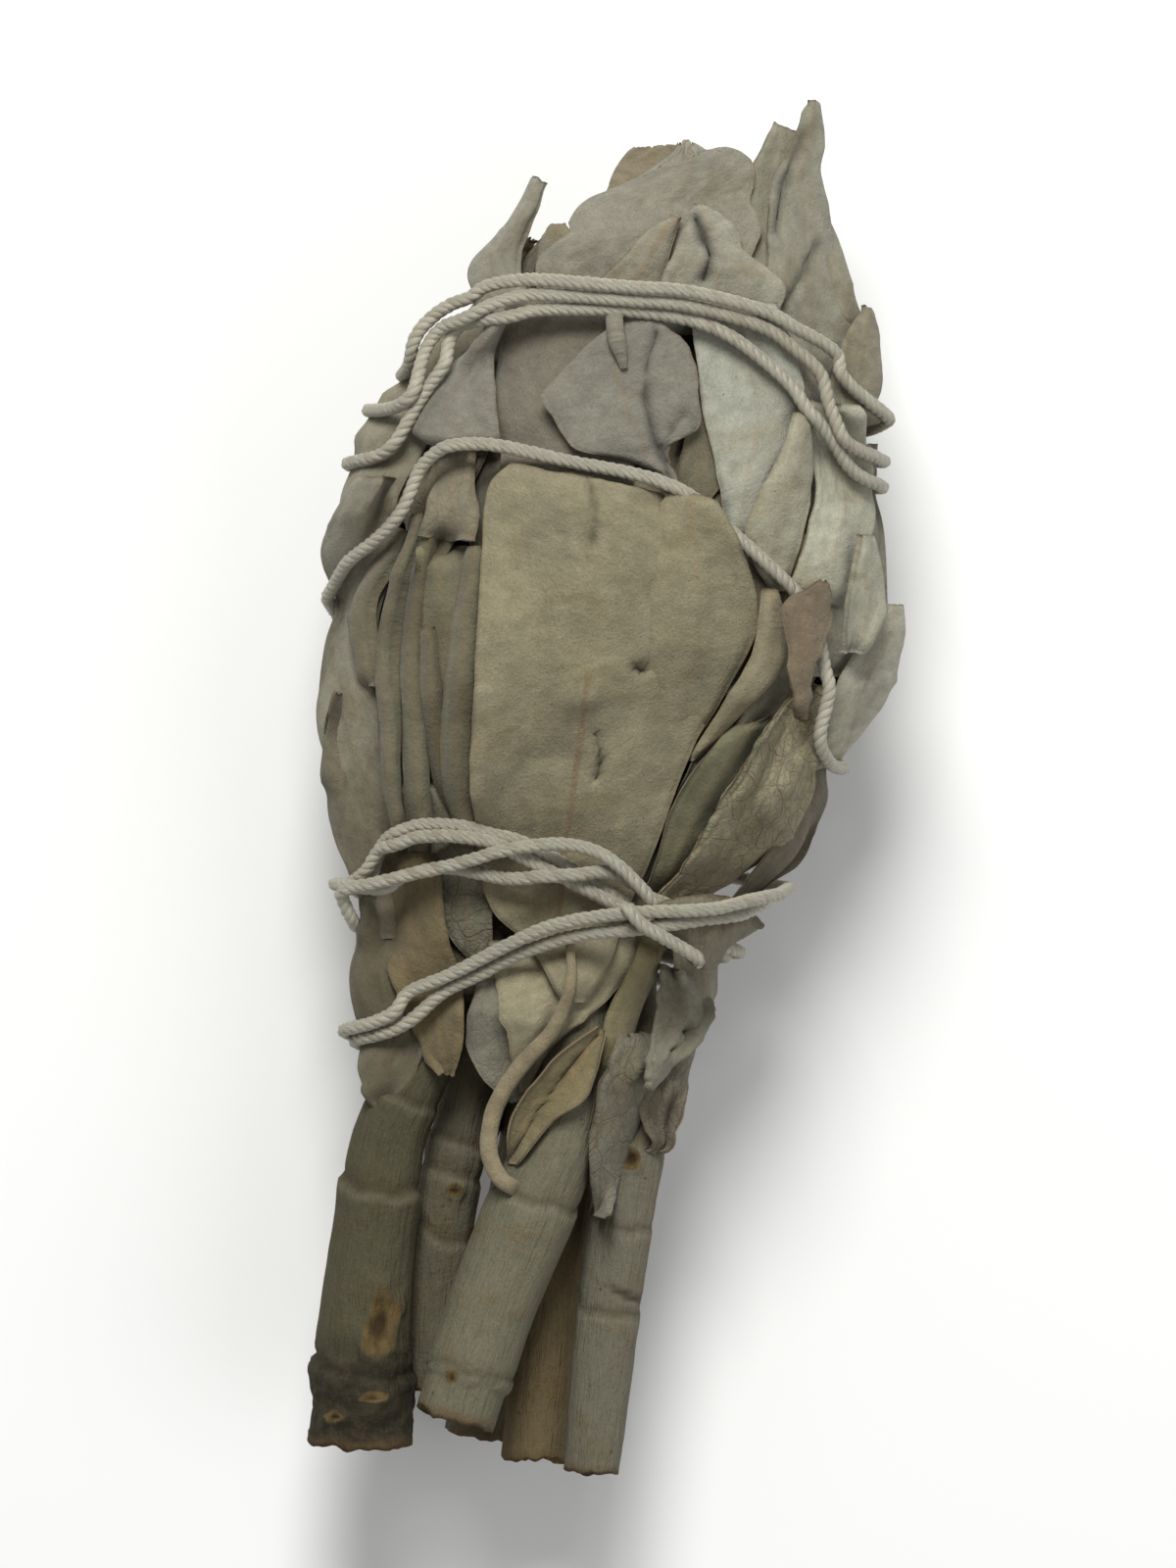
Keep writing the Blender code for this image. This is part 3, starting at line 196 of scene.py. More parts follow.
# The leaves that show, from the inside out. left and right are the two edges in the view, base to tip.
# bow crowns a leaf, round makes that crown a roll, curl turns its left and right edges up, rise lifts its base
# and its tip off the bunch, ripple waves its edges, crumple its whole blade, and ragged is how uneven its edges
# are. A crease is a line of places, a depth and a width, and a lump a place, a height and a reach. A crease
# whose width is below 0.6 is also darkened with painted shade. tint is the colour as 0 to 255, net how strongly
# the veins show and brown_rib how brown the rib is. Leaves marked inner are fused with the imported leaves in
# the middle.
LEAVES = {
    "top_right_back": dict(
        left=[(17.6, 37.6), (18.4, 43.2), (19, 45.8)], right=[(23.2, 36), (21.4, 41.2), (20, 46)], inner=True
    ),
    "top_small": dict(
        left=[(-4.8, 36.4), (-4.5, 41), (-4.3, 44), (-3.4, 45.4), (-2.8, 45.7)],
        right=[(-1.4, 36.4), (-1.4, 41), (-1.2, 44.2), (-1.6, 45.2), (-2.2, 45.7)],
        inner=True,
    ),
    "far_left_upper": dict(
        left=[(-19.8, 20.8), (-20.4, 25), (-18.6, 30), (-14.4, 34.6), (-11, 38)],
        right=[(-16, 20.8), (-15, 25), (-12.4, 30), (-10, 34.6), (-8.4, 38)],
        inner=True,
    ),
    "right_inner": dict(
        left=[(11.2, 3.2), (14, 8), (16.4, 12)], right=[(16, 2.4), (18.4, 7.2), (18.8, 12)], inner=True
    ),
    "left_low_inner": dict(
        left=[(-17.2, -8), (-16.4, -4), (-15.6, 0)], right=[(-12, -8), (-11.2, -4), (-12.4, 0)], inner=True
    ),
    "right_low_inner": dict(
        left=[(7.2, -19.2), (7.2, -16), (8, -11.8)],
        right=[(10.8, -18.4), (11.6, -15.6), (12.2, -11.8)],
        inner=True
    ),
    "leaf_top_back": dict(
        left=[(0, 38.5), (0.6, 45.6), (1.5, 48.7), (2, 50.4), (2.9, 51.3), (3.8, 51.9)],
        right=[(10.4, 38.5), (11, 45), (10.2, 49), (8.6, 51.4), (7.2, 52.1), (5.9, 51.8)],
        bow=0.5,
        tint=(126, 117, 95), net=0.3, ragged=0.35,
    ),
    "leaf_top_tall_back": dict(
        left=[(12, 37.6), (12.4, 43), (12.7, 47.3), (13.6, 51), (15.2, 54)],
        right=[(16, 37.6), (17, 44), (17.6, 48), (17.8, 51), (16.9, 53.3)],
        bow=0.7,
        tint=(134, 131, 113), ragged=0.2,
    ),
    "leaf_right_edge": dict(
        left=[(18, 8.8), (18.4, 16), (19, 22.4), (19, 27.6)],
        right=[(24.4, 8.8), (26.6, 15.2), (26.6, 21.6), (25, 27.6)],
        bow=0.5,
        tint=(144, 142, 126),
    ),
    "leaf_far_left": dict(
        left=[(-20.6, 0), (-22.4, 4.4), (-24, 9.6), (-23.6, 16), (-21, 21.6), (-19, 25)],
        right=[(-15.8, 0), (-16.4, 4.4), (-17, 8.8), (-16.8, 14.4), (-16, 20.4), (-15, 25)],
        bow=0.6,
        tint=(129, 125, 107),
    ),
    "leaf_far_left_low": dict(
        left=[(-18.6, -12.4), (-20, -8), (-21.2, -3), (-21.8, 2.6), (-20.6, 7.4)],
        right=[(-14.6, -12.4), (-14.6, -8), (-15, -3), (-15.8, 2.6), (-18, 7.4)],
        bow=0.5,
        curl=(0.4, 0),
        tint=(114, 107, 88), ragged=0.3, crumple=0.4,
    ),
    "leaf_right_crumpled": dict(
        left=[(12, -10.8), (14.8, -4.8), (15.4, 1)],
        right=[(16.6, -10.8), (19.4, -4.8), (20.4, 1.6)],
        bow=0.4,
        ripple=0.4,
        tint=(106, 99, 81), crumple=0.9, ragged=0.35, net=0.5,
    ),
    "leaf_left_sheath": dict(
        left=[(-17.6, -26.6), (-19.4, -22), (-19.6, -15), (-19.2, -9)],
        right=[(-15.8, -26.8), (-13.8, -22), (-14.2, -15), (-16.2, -9)],
        bow=0.3,
        tint=(98, 92, 72), crumple=0.3,
    ),
    "leaf_right_low_small": dict(
        left=[(5.4, -30), (4.2, -26.4), (4.6, -23), (5.8, -20.6)],
        right=[(6.2, -30.2), (7.6, -27), (8.4, -24), (8.8, -21)],
        ripple=0.3,
        tint=(112, 106, 88), net=0.8, crumple=0.7, ragged=0.35,
    ),
    "leaf_top_tall": dict(
        left=[
            (17, 30.2), (14.2, 36), (14.4, 41), (14.6, 45.4), (14.8, 48.6), (16.4, 51.6), (17.3, 53.6),
            (17.6, 55), (18.2, 55.8),
        ],
        right=[
            (22, 30.2), (22.4, 34.4), (21.7, 37.2), (20.4, 41.8), (19.9, 46.1), (19.1, 49.4), (19.3, 52.8),
            (19, 55.1), (18.5, 55.8),
        ],
        bow=1.1,
        tint=(131, 128, 112),
        creases=(
            (((18.6, 44), (17.4, 41.6), (16, 39)), 0.6, 0.35),
            (((17.6, 53), (15.9, 49), (15.2, 45)), 0.6, 0.5),
        ),
        ragged=0.2,
    ),
    "leaf_top_broad": dict(
        left=[
            (-3.4, 36.6), (-4.3, 41.4), (-3.9, 42.9), (-1.7, 44.9), (-1.3, 46.3), (-0.3, 47.5), (1.3, 48.2),
            (3.9, 49.2), (6, 50.6), (7.3, 51.9),
        ],
        right=[
            (10.6, 36.6), (12.4, 41), (13.9, 45.2), (13, 47.6), (13.7, 49.8), (13.2, 51), (11.6, 51.8),
            (9.7, 51.5), (8.6, 52.1),
        ],
        bow=0.9,
        rise=(0, 0.8),
        ripple=0.3,
        tint=(132, 128, 113), ragged=0.45, ragged_tip=0.8, net=0.15, crumple=0.3,
    ),
    "leaf_top_wedge": dict(
        left=[(-0.8, 37), (0.5, 40.7), (2.9, 42.8), (5, 45), (7, 46)],
        right=[(6.2, 37), (6.1, 40.6), (6.4, 42.1), (6.9, 44.2), (7.5, 46)],
        bow=0.6,
        tint=(139, 135, 118), brown_rib=0.5,
    ),
    "leaf_top_folded": dict(
        left=[(5.2, 36.8), (5.8, 40.6), (7.1, 43.4), (8.4, 46.4), (8.7, 47.1)],
        right=[(15.2, 36.4), (16.1, 40), (14.6, 41.8), (12.5, 43.4), (12.1, 44.9), (10.9, 46.1), (9.4, 47)],
        bow=1.1,
        lumps=(((8.6, 45.4), 0.8, 1.4),),
        tint=(143, 140, 124),
        creases=((((8.8, 45.6), (9.5, 43.8), (9.9, 42.8), (9.6, 41)), 1.3, 0.45),),
    ),
    "leaf_top_rolled": dict(
        left=[(-8.2, 36.4), (-9.5, 40.2), (-9.8, 42.2), (-7.3, 44.6), (-5.7, 46.8), (-4.4, 49.6)],
        right=[(-4.8, 36.4), (-5.6, 40.4), (-5.7, 42.4), (-5.3, 44.6), (-4.2, 46.9), (-3.5, 49)],
        tint=(135, 132, 117), round=True, bow=1.6,
    ),
    "leaf_top_side": dict(
        left=[(20.4, 29.6), (20.4, 34.4), (21.2, 36.8), (22.6, 38.8)],
        right=[(24.4, 28.6), (24.2, 33), (23.8, 36.6), (23.3, 38.9)],
        bow=0.7,
        tint=(130, 124, 104), ragged=0.3,
    ),
    "leaf_upper_mid": dict(
        left=[(-7, 21.6), (-7.5, 27.2), (-7.8, 32), (-7.8, 36), (-7, 40)],
        right=[(3.2, 21.6), (4, 27.2), (4.4, 32), (4.6, 36), (4.4, 40)],
        tint=(113, 108, 94), bow=0.7,
    ),
    "leaf_upper_right_wide": dict(
        left=[(12, 18.8), (10.8, 24), (9.4, 29.6), (8.8, 34.4), (8.2, 40)],
        right=[(13, 18.8), (14.8, 24.8), (17.8, 30), (17.6, 34.2), (15.6, 39)],
        bow=0.7,
        tint=(153, 153, 139),
    ),
    "leaf_upper_right_outer": dict(
        left=[(16.6, 15.2), (17.8, 20.4), (18.7, 25.6), (18.4, 31)],
        right=[(20.6, 14.6), (23.2, 20), (24, 24.6), (22.6, 30.6)],
        bow=0.8,
        tint=(161, 160, 141),
    ),
    "leaf_upper_right_slim": dict(
        left=[(15.2, 15.6), (13, 20.4), (15, 25.6), (17.3, 30)],
        right=[(16.5, 15.6), (17.4, 20.4), (18.6, 25.6), (18.9, 30)],
        tint=(147, 144, 123), round=True, bow=1.0,
    ),
    "leaf_right_light": dict(
        left=[(19, 0.8), (19.6, 6.4), (21.6, 10.8), (24.2, 14.6)],
        right=[(22.6, 2.4), (24.8, 7.6), (25.8, 11.6), (25.8, 14.6)],
        bow=0.7,
        tint=(159, 156, 138),
    ),
    "leaf_right_bean": dict(
        left=[(21, 10.6), (21.1, 14.4), (21.7, 17.6), (22.3, 20.2)],
        right=[(22.7, 10.6), (24.1, 14), (23.9, 17.2), (23.1, 20.2)],
        tint=(147, 145, 127), round=True, bow=1.3,
    ),
    "leaf_pleat_1": dict(
        left=[(-18.2, 7.6), (-19.4, 12), (-19.2, 16), (-17.6, 19.6), (-16.2, 21)],
        right=[(-17, 8), (-17.6, 12), (-17.4, 15.6), (-16, 18.4), (-14.9, 20.6)],
        tint=(108, 103, 84), round=True, bow=1.3, ripple=0,
    ),
    "leaf_pleat_2": dict(
        left=[(-16.6, -4.8), (-17, 3.2), (-17.4, 9.6), (-16.4, 16), (-15, 22)],
        right=[(-15.5, -4.8), (-15.3, 3.2), (-15.7, 9.6), (-14.8, 16), (-13.7, 22)],
        tint=(102, 98, 79), round=True, bow=1.4, ripple=0,
    ),
    "leaf_pleat_3": dict(
        left=[(-15.2, -6.4), (-15, 1.6), (-15.4, 9.6), (-14.5, 16.8), (-13.4, 23.2)],
        right=[(-13.6, -6.4), (-12.9, 1.6), (-13.4, 9.6), (-12.9, 16.8), (-12.1, 23.2)],
        tint=(99, 95, 75), round=True, bow=1.4, ripple=0,
    ),
    "leaf_left_vee": dict(
        left=[(-14.1, 19.2), (-13.8, 14.4), (-12.6, 9.6), (-11.8, 6.2)],
        right=[(-9.4, 19.2), (-9.7, 14.4), (-10.5, 9.6), (-11, 6.2)],
        bow=0.2,
        tint=(113, 108, 85), crumple=0.3,
    ),
    "leaf_pleat_4": dict(
        left=[(-9.8, -5.6), (-12, -1.6), (-13.4, 4.8), (-13.6, 12.8)],
        right=[(-8.6, -5.6), (-9.8, -1.6), (-11.6, 4.8), (-12.4, 12.8)],
        tint=(98, 93, 73), round=True, bow=1.3, ripple=0,
    ),
    "leaf_pleat_5": dict(
        left=[(-11, -6.4), (-11.8, 0.8), (-11.6, 8), (-10.8, 14.4), (-9.8, 19.2)],
        right=[(-9.2, -6.4), (-9.2, 0.8), (-9, 8), (-8.6, 14.4), (-8.3, 19.2)],
        tint=(101, 97, 77), round=True, bow=1.6, ripple=0,
    ),
    "leaf_left_crumple": dict(
        left=[(-14.1, 20.2), (-13.4, 23.2), (-12.4, 26.4), (-11.4, 27.8)],
        right=[(-9.2, 19.6), (-8.8, 22.4), (-9.4, 25.6), (-9.6, 27.8)],
        bow=0.8,
        ripple=0.5,
        rise=(0.6, 0),
        tint=(122, 115, 95), crumple=1.2, ragged=0.4, net=0.4,
    ),
    "leaf_left_flap": dict(
        left=[(-12.6, 27.4), (-15.2, 28.6), (-15.8, 30.4), (-13.6, 32.7), (-10, 35.7), (-8.4, 37.6)],
        right=[(-7.6, 27.4), (-7.5, 30), (-7.5, 32.3), (-7.9, 35), (-7.2, 37.8)],
        rise=(0.7, 0),
        tint=(122, 119, 107), bow=1.6, crumple=0.4,
    ),
    "leaf_mid_right_green": dict(
        left=[(5.1, -9), (6.1, -4), (8, 0.4), (11.6, 4.6)],
        right=[(7.2, -9), (9.6, -4), (12.4, 0.4), (15.6, 5.4)],
        bow=0.5,
        tint=(111, 109, 83),
    ),
    "leaf_mid_right_netted": dict(
        left=[(5.6, -10.6), (9, -4.6), (11.6, 0.2), (14.2, 4), (18.1, 8)],
        right=[(8.4, -10.6), (13.6, -7.4), (17.4, -3), (19.4, 1.6), (20.2, 7.8)],
        bow=0.8,
        curl=(0.5, 0),
        tint=(143, 136, 110), net=1.0, crumple=0.5, ragged=0.3,
    ),
    "leaf_mid_right_rolled": dict(
        left=[(8, 1.8), (10.8, 6.2), (13.2, 10.2), (14, 14), (14.6, 15.7)],
        right=[(9.8, 2.6), (13.2, 6.4), (16, 9.4), (16.6, 12.8), (15.8, 15.7)],
        tint=(134, 126, 101), round=True, bow=1.5,
    ),
    "leaf_left_netted": dict(
        left=[(-12.8, -4.8), (-12.6, -9.2), (-11, -12.8), (-9.2, -15)],
        right=[(-7.6, -4.8), (-7.8, -9.2), (-8, -12.8), (-8.2, -15)],
        bow=0.3,
        tint=(114, 110, 92), net=1.0,
    ),
    "leaf_low_gray": dict(
        left=[(-6.4, -26), (-8.8, -23.6), (-9.8, -20.8), (-9.4, -14.2)],
        right=[(-4.6, -25.2), (-3.8, -21.6), (-4.2, -18.4), (-5.4, -14.2)],
        bow=0.4,
        tint=(124, 121, 105), net=0.3, ragged=0.35, crumple=0.5,
    ),
    "leaf_front_under": dict(
        left=[(-5.6, -25.2), (-6.6, -21), (-7.4, -17), (-8.2, -12.8)],
        right=[(-4.9, -24.6), (-2.6, -21), (0.6, -18.4), (2.4, -16.4), (4.2, -14.2), (4.4, -12)],
        bow=0.5,
        tint=(147, 140, 113), ragged=0.4,
    ),
    "leaf_olive_strip": dict(
        left=[(1, -23.6), (1.4, -19.2), (3.8, -14.4), (5.4, -11.4)],
        right=[(3.4, -23.6), (4.4, -19.2), (6.2, -14.8), (7.4, -12.4)],
        bow=0.5,
        tint=(120, 112, 82),
    ),
    "leaf_low_netted": dict(
        left=[(2.4, -20.4), (0.6, -26), (-0.1, -31.6), (0.8, -35.2)],
        right=[(6, -20.6), (5, -26), (3, -31.2), (1.8, -35.3)],
        bow=0.4,
        ripple=0.3,
        tint=(113, 109, 92), net=0.9, ragged=0.3,
    ),
    "leaf_right_holed": dict(
        left=[(6.2, -14.8), (5.4, -18), (5, -21), (4.5, -24.6)],
        right=[(8.4, -15.6), (10.3, -18.4), (9.4, -20.8), (7.2, -22.8), (5.2, -24.8)],
        bow=0.6,
        tint=(122, 118, 100),
        creases=((((7.9, -20.2), (8.1, -20.4)), 0.6, 0.35), (((6.9, -21.6), (6.8, -21.8)), 0.6, 0.3)),
        ragged=0.35,
    ),
    "leaf_tan_hanging": dict(
        left=[(-18, -5.6), (-17.6, -10.4), (-16.4, -16), (-14.6, -21), (-12.2, -23.7)],
        right=[(-12.8, -5.6), (-11.8, -10.4), (-10.8, -15.2), (-10.2, -20), (-10.9, -23.7)],
        bow=0.6,
        tint=(111, 99, 70), ragged=0.25, net=0.25,
    ),
    "leaf_front_broad": dict(
        left=[
            (-2.2, -17.6), (-4.4, -13.6), (-8, -10), (-9.4, -4.8), (-9.4, 3.2), (-9, 12), (-8.5, 19.2),
            (-8.1, 24), (-6.6, 26),
        ],
        right=[
            (0, -17.6), (2.6, -12.8), (4.6, -8), (6.4, -2.4), (8.8, 3.6), (11.6, 8), (13.6, 12),
            (13.4, 15.6), (11.6, 19.6), (7.2, 23.2),
        ],
        bow=0.9,
        tint=(132, 125, 100),
        rib=((-2.4, -12), (-1.6, -4), (-0.6, 4), (0, 8.8)),
        brown_rib=0.8,
        creases=(
            (((-0.4, 25.6), (0.2, 23.6), (0.6, 21.6), (0.4, 19.4)), 0.55, 0.3),
            (((0.4, 19.4), (0.2, 14), (0.6, 9)), 0.3, 0.9),
            (((6.4, 23.4), (7.1, 21.4), (7.0, 19), (6.2, 16.4)), 0.5, 0.3),
            (((-4.6, 24), (-5.0, 16), (-4.4, 6)), 0.4, 1.8),
            (((4.4, 15), (6.4, 8), (5.6, 0)), 0.45, 1.6),
            (((-8.8, -3), (-5, 2), (-2.5, 3)), 0.2, 0.8),
            (((3.7, 9.5), (4.3, 9.1), (4.9, 9.6)), 1.2, 0.3),
            (((0.5, 4.4), (0.9, 3), (1, 1.8)), 1.0, 0.25),
            (((0.9, 1), (0.7, 0.4)), 1.0, 0.25),
        ),
        crumple=0.3,
    ),
    "leaf_upper_torn": dict(
        left=[
            (1.4, 36.8), (-0.4, 35.2), (-3.6, 31.8), (-3.8, 31), (-2.6, 29.2), (-1, 26.9), (3, 26.3),
            (6, 24.9), (7, 23.7),
        ],
        right=[
            (4.2, 38.4), (6.4, 37), (8.4, 35.2), (8.7, 32.3), (9.1, 29), (6.9, 27.6), (6.8, 26.2),
            (7.8, 23.8),
        ],
        bow=0.6,
        tint=(120, 117, 105),
        net=0.2,
        ragged=0.45,
        creases=(
            (((5.6, 36.4), (4.7, 34), (4.6, 31), (5.3, 27.8), (6.8, 24.6)), 0.8, 0.35),
            (((2.6, 37), (3.4, 34), (3.0, 31)), 0.3, 0.9),
            (((7.8, 30), (6.8, 28.6)), 0.5, 0.3),
        ),
        lumps=(
            ((-3.8, 31.2), 1.7, 2.4), ((-0.6, 27), 0.8, 1.6), ((7.6, 31), 0.7, 2.2), ((7.2, 24.4), 0.9, 1.4),
        ),
        crumple=0.35,
    ),
    "leaf_small_olive": dict(
        left=[(-6.6, -30.8), (-6.2, -27.2), (-3.2, -22.8), (0.7, -19.7)],
        right=[(-5.8, -31), (-2.9, -27.4), (0, -25.2), (1.5, -20.2)],
        bow=-0.2,
        curl=(0.5, 0.5),
        tint=(120, 110, 79),
        net=0.3,
        brown_rib=0.6,
        creases=((((-6.0, -30.2), (-4.2, -26.8), (-1.8, -23.4), (0.6, -20.6)), 0.7, 0.22),),
    ),
}

# Leaves of the side it lies on: angle and y of the base, angle and y of the tip, and width
BACK_LEAVES = {
    "leaf_back_1": (112, -14, 108, 30, 15),
    "leaf_back_2": (-116, -12, -108, 33, 15),
    "leaf_back_3": (140, -20, 134, 20, 15),
    "leaf_back_4": (-142, -17, -136, 26, 15),
    "leaf_back_5": (128, 12, 150, 50, 14),
    "leaf_back_6": (-128, 10, -140, 48, 14),
    "leaf_back_7": (184, -10, 176, 40, 21),
    "leaf_back_8": (-172, -30, 178, -2, 13),
}

# One string, wound from the foot of the bunch to its top. Each pass crosses the side that shows from left to
# right, and then goes round the back through the three ys given, at 120, 180 and 240 degrees.
TWINE_PASSES = [
    (
        [
            (-19, -8.4), (-17.8, -5.3), (-16, -3.8), (-13.6, -3.3), (-11, -3.3), (-8.3, -4), (-5.7, -4.6),
            (-3, -5.9), (-0.4, -7.3), (2.6, -9.3), (6, -11.6), (10.4, -14.8),
        ],
        (-14.8, -14.0, -13.0),
    ),
    (
        [
            (-18.6, -7.6), (-17.4, -5.7), (-15.6, -4.9), (-13.6, -4.4), (-11, -4.2), (-7.7, -4.8),
            (-4.3, -6.5), (-2.4, -7.4), (0.3, -8.8), (2.6, -10), (6.4, -12), (12, -14.2),
        ],
        (-12.9, -12.1, -11.2),
    ),
    (
        [
            (-19.5, -8.4), (-17.6, -8.5), (-15.6, -7.5), (-13, -6.8), (-11, -6.8), (-9, -7.2), (-6.3, -7.7),
            (-3.7, -7.5), (-1, -7.3), (1, -7.1), (2.6, -7.5), (4.3, -8.4), (6.6, -9.8), (13, -12.5),
        ],
        (-11.1, -12.4, -14.6),
    ),
    (
        [
            (-19.3, -11.4), (-18.3, -9.6), (-16.6, -8.4), (-14.3, -7.4), (-11.3, -6.8), (-9, -6.1),
            (-7, -5.5), (-4.3, -5), (-1.7, -4.9), (0.6, -5.5), (2.3, -6.8), (3.6, -8.4), (4.5, -9.8),
            (7, -11.6), (13.6, -10.8),
        ],
        (-10.5, -18.0, -24.6),
    ),
    (
        [
            (-19.8, -20.6), (-17.3, -19.2), (-12.3, -16.9), (-9, -15.4), (-7, -14.4), (-4.3, -13.3),
            (-1, -12.3), (2.3, -11.5), (5.6, -10.5), (8.9, -9.6), (11.6, -9), (15, -9.6),
        ],
        (-8.5, -16.5, -23.6),
    ),
    (
        [
            (-19.5, -19.9), (-17.3, -18.4), (-14.6, -17), (-11.6, -15.7), (-9, -14.4), (-5.7, -12.7),
            (-3.7, -11.7), (-1, -10.9), (2.3, -10.1), (5.6, -9.3), (8.9, -8.6), (11.6, -8.1), (15, -8.3),
        ],
        (-5.5, -4.4, 6.0),
    ),
    (
        [
            (-18.4, 20), (-14.4, 26), (-9.6, 27.6), (-2.4, 26.2), (7, 24), (12.6, 19.6), (17.8, 14.2),
            (19.6, 8), (19.4, 1.6),
        ],
        (7.0, 15.5, 21.0),
    ),
    (
        [
            (-17.4, 26.4), (-15.8, 29.4), (-14.2, 31.8), (-12.1, 34.3), (-9.8, 36.6), (-6.5, 37.8),
            (-3, 38.3), (3.2, 38.3), (8, 37.6), (11.2, 36.5), (14.4, 34.4), (17, 32.1), (19.6, 29.7),
            (21.8, 26.4), (23, 24.6),
        ],
        (28.0, 27.6, 26.8),
    ),
    (
        [
            (-15.6, 30.6), (-13.1, 33.8), (-11.1, 36), (-9.4, 37.7), (-6.5, 38.9), (-3, 39.4), (3.2, 39.1),
            (8, 38.7), (14.4, 37), (17.2, 35.2), (19.6, 33), (21.8, 29.6), (23.2, 26.8),
        ],
        (30.2, 30.2, 29.8),
    ),
    (
        [
            (-13.8, 33.6), (-11.8, 36), (-9.9, 38), (-8.6, 39.3), (-7, 40.1), (-3, 40.5), (3.2, 40.1),
            (8, 39.8), (14.4, 38.3), (17.2, 36.9), (19.6, 35.1), (21.8, 32.4), (23.4, 28.8),
        ],
        (32.4, 32.2, 31.4),
    ),
]
BACK_ANGLES = (120, 180, 240)

# Leaves that lie over part of the string: how many passes are beneath each, and its outline as above
OVER_TWINE = {
    "leaf_right_ear": dict(
        passes=4,
        left=[(5.2, -10), (8, -9), (11.6, -9.2), (13.8, -10.6), (14.3, -11.4)],
        right=[
            (5.6, -11.2), (7.2, -12.8), (8.6, -14.8), (10.4, -15), (11.2, -13.4), (13, -12.4), (14.1, -11.7),
        ],
        bow=0.8,
        tint=(118, 112, 94), net=0.6, ragged=0.2,
    ),
    "leaf_front_flap": dict(
        passes=7,
        left=[(6.4, 1.6), (4.6, 7), (3.6, 12), (3.8, 17), (5, 21), (6.8, 24)],
        right=[(8.4, 2.8), (11.4, 7.9), (13.5, 12.2), (13.5, 15.6), (12.2, 19.6), (10.4, 22.8)],
        bow=0.3,
        root=(2.4, 13.0),
        sides=((2.2, 4.5), (0, 1)),
        tint=(132, 125, 100), ragged=0.1, crumple=0.3,
    ),
    "leaf_dry_curl": dict(
        passes=7,
        left=[(16.8, 5.4), (16.2, 9), (15.8, 12), (16, 14.4), (18, 16.4)],
        right=[(17.8, 5.2), (18.2, 8.8), (18.8, 11), (19.6, 13.8), (19.4, 16.2)],
        bow=0.5,
        ripple=0.5,
        tint=(110, 98, 79), crumple=1.3, ragged=0.5, net=0.3,
    ),
}

# Leaf stalks: their places from the foot up, and their colour
STALKS = {
    "leaf_front_broad": (
        [
            (-5.2, -33.2), (-7.2, -32), (-8.1, -29.6), (-7.6, -26.4), (-5.6, -23.2), (-2.8, -20),
            (-1.3, -16), (-1.4, -12),
        ],
        (133, 122, 96),
    ),
    "leaf_upper_torn": ([(2.0, 38.4), (2.1, 37.2), (2.3, 35.8), (2.8, 33.6)], (132, 128, 112)),
}

# The string's short loose end
STRING_TAIL = [(3.2, -9.8), (5.0, -11.6), (7.0, -13.8), (8.4, -15.0)]

# The stems' colours as 0 to 255
STEM_TINT = {
    "stem_left": (80, 76, 58),
    "stem_mid_left": (96, 91, 74),
    "stem_front": (108, 104, 86),
    "stem_tan": (104, 91, 65),
    "stem_right": (106, 102, 87),
    "stem_back": (98, 93, 74),
}
STEM_GNARL = {"stem_left": (-46.5, 0.5)}  # the y below which a stem is knobbly, and how much
STEM_SCARS = {  # in the view: place, size across and along, depth
    "stem_left": [
        ((-17.0, -44.2), (1.2, 2.6), 0.45), ((-20.6, -51.2), (0.8, 0.5), 0.3), ((-17.6, -50), (1.2, 0.5), 0.3),
    ],
    "stem_front": [((-11.2, -48.4), (0.45, 0.6), 0.1)],
    "stem_right": [((3.5, -30.6), (0.8, 1.0), 0.4)],
    "stem_mid_left": [((-10.9, -33.2), (0.7, 0.5), 0.3)],
}
STEM_SLITS = {  # splits in the bark under a ring: place, half length and slope
    "stem_left": [((-17.2, -25), 1.5, -0.05)],
    "stem_right": [((3.2, -41.9), 1.9, -0.3)],
}
STEM_TORN = {"stem_front": (-49.4, 0.4)}  # where the outer bark ends, and its thickness


def spline(points, count):
    """count points on a smooth curve through the given ones, evenly spaced along it, and its length."""
    points = np.asarray(points, float)
    ends = np.vstack([2 * points[0] - points[1], points, 2 * points[-1] - points[-2]])
    t = np.linspace(0, 1, 16, endpoint=False)[:, None]
    fine = []
    for i in range(len(points) - 1):
        p0, p1, p2, p3 = ends[i : i + 4]
        bend, twist = 2 * p0 - 5 * p1 + 4 * p2 - p3, 3 * p1 - p0 - 3 * p2 + p3
        fine.append(0.5 * (2 * p1 + (p2 - p0) * t + bend * t**2 + twist * t**3))
    fine = np.vstack(fine + [points[-1:]])
    along = np.concatenate([[0], np.cumsum(np.linalg.norm(np.diff(fine, axis=0), axis=1))])
    at = np.linspace(0, along[-1], count)
    return np.stack([np.interp(at, along, fine[:, k]) for k in range(points.shape[1])], axis=1), along[-1]


def hashed(ix, iy, seed):
    """A number from 0 to 1 for each corner of a grid."""
    mixed = np.sin(ix * 127.1 + iy * 311.7 + seed * 74.7) * 43758.5453
    return mixed - np.floor(mixed)


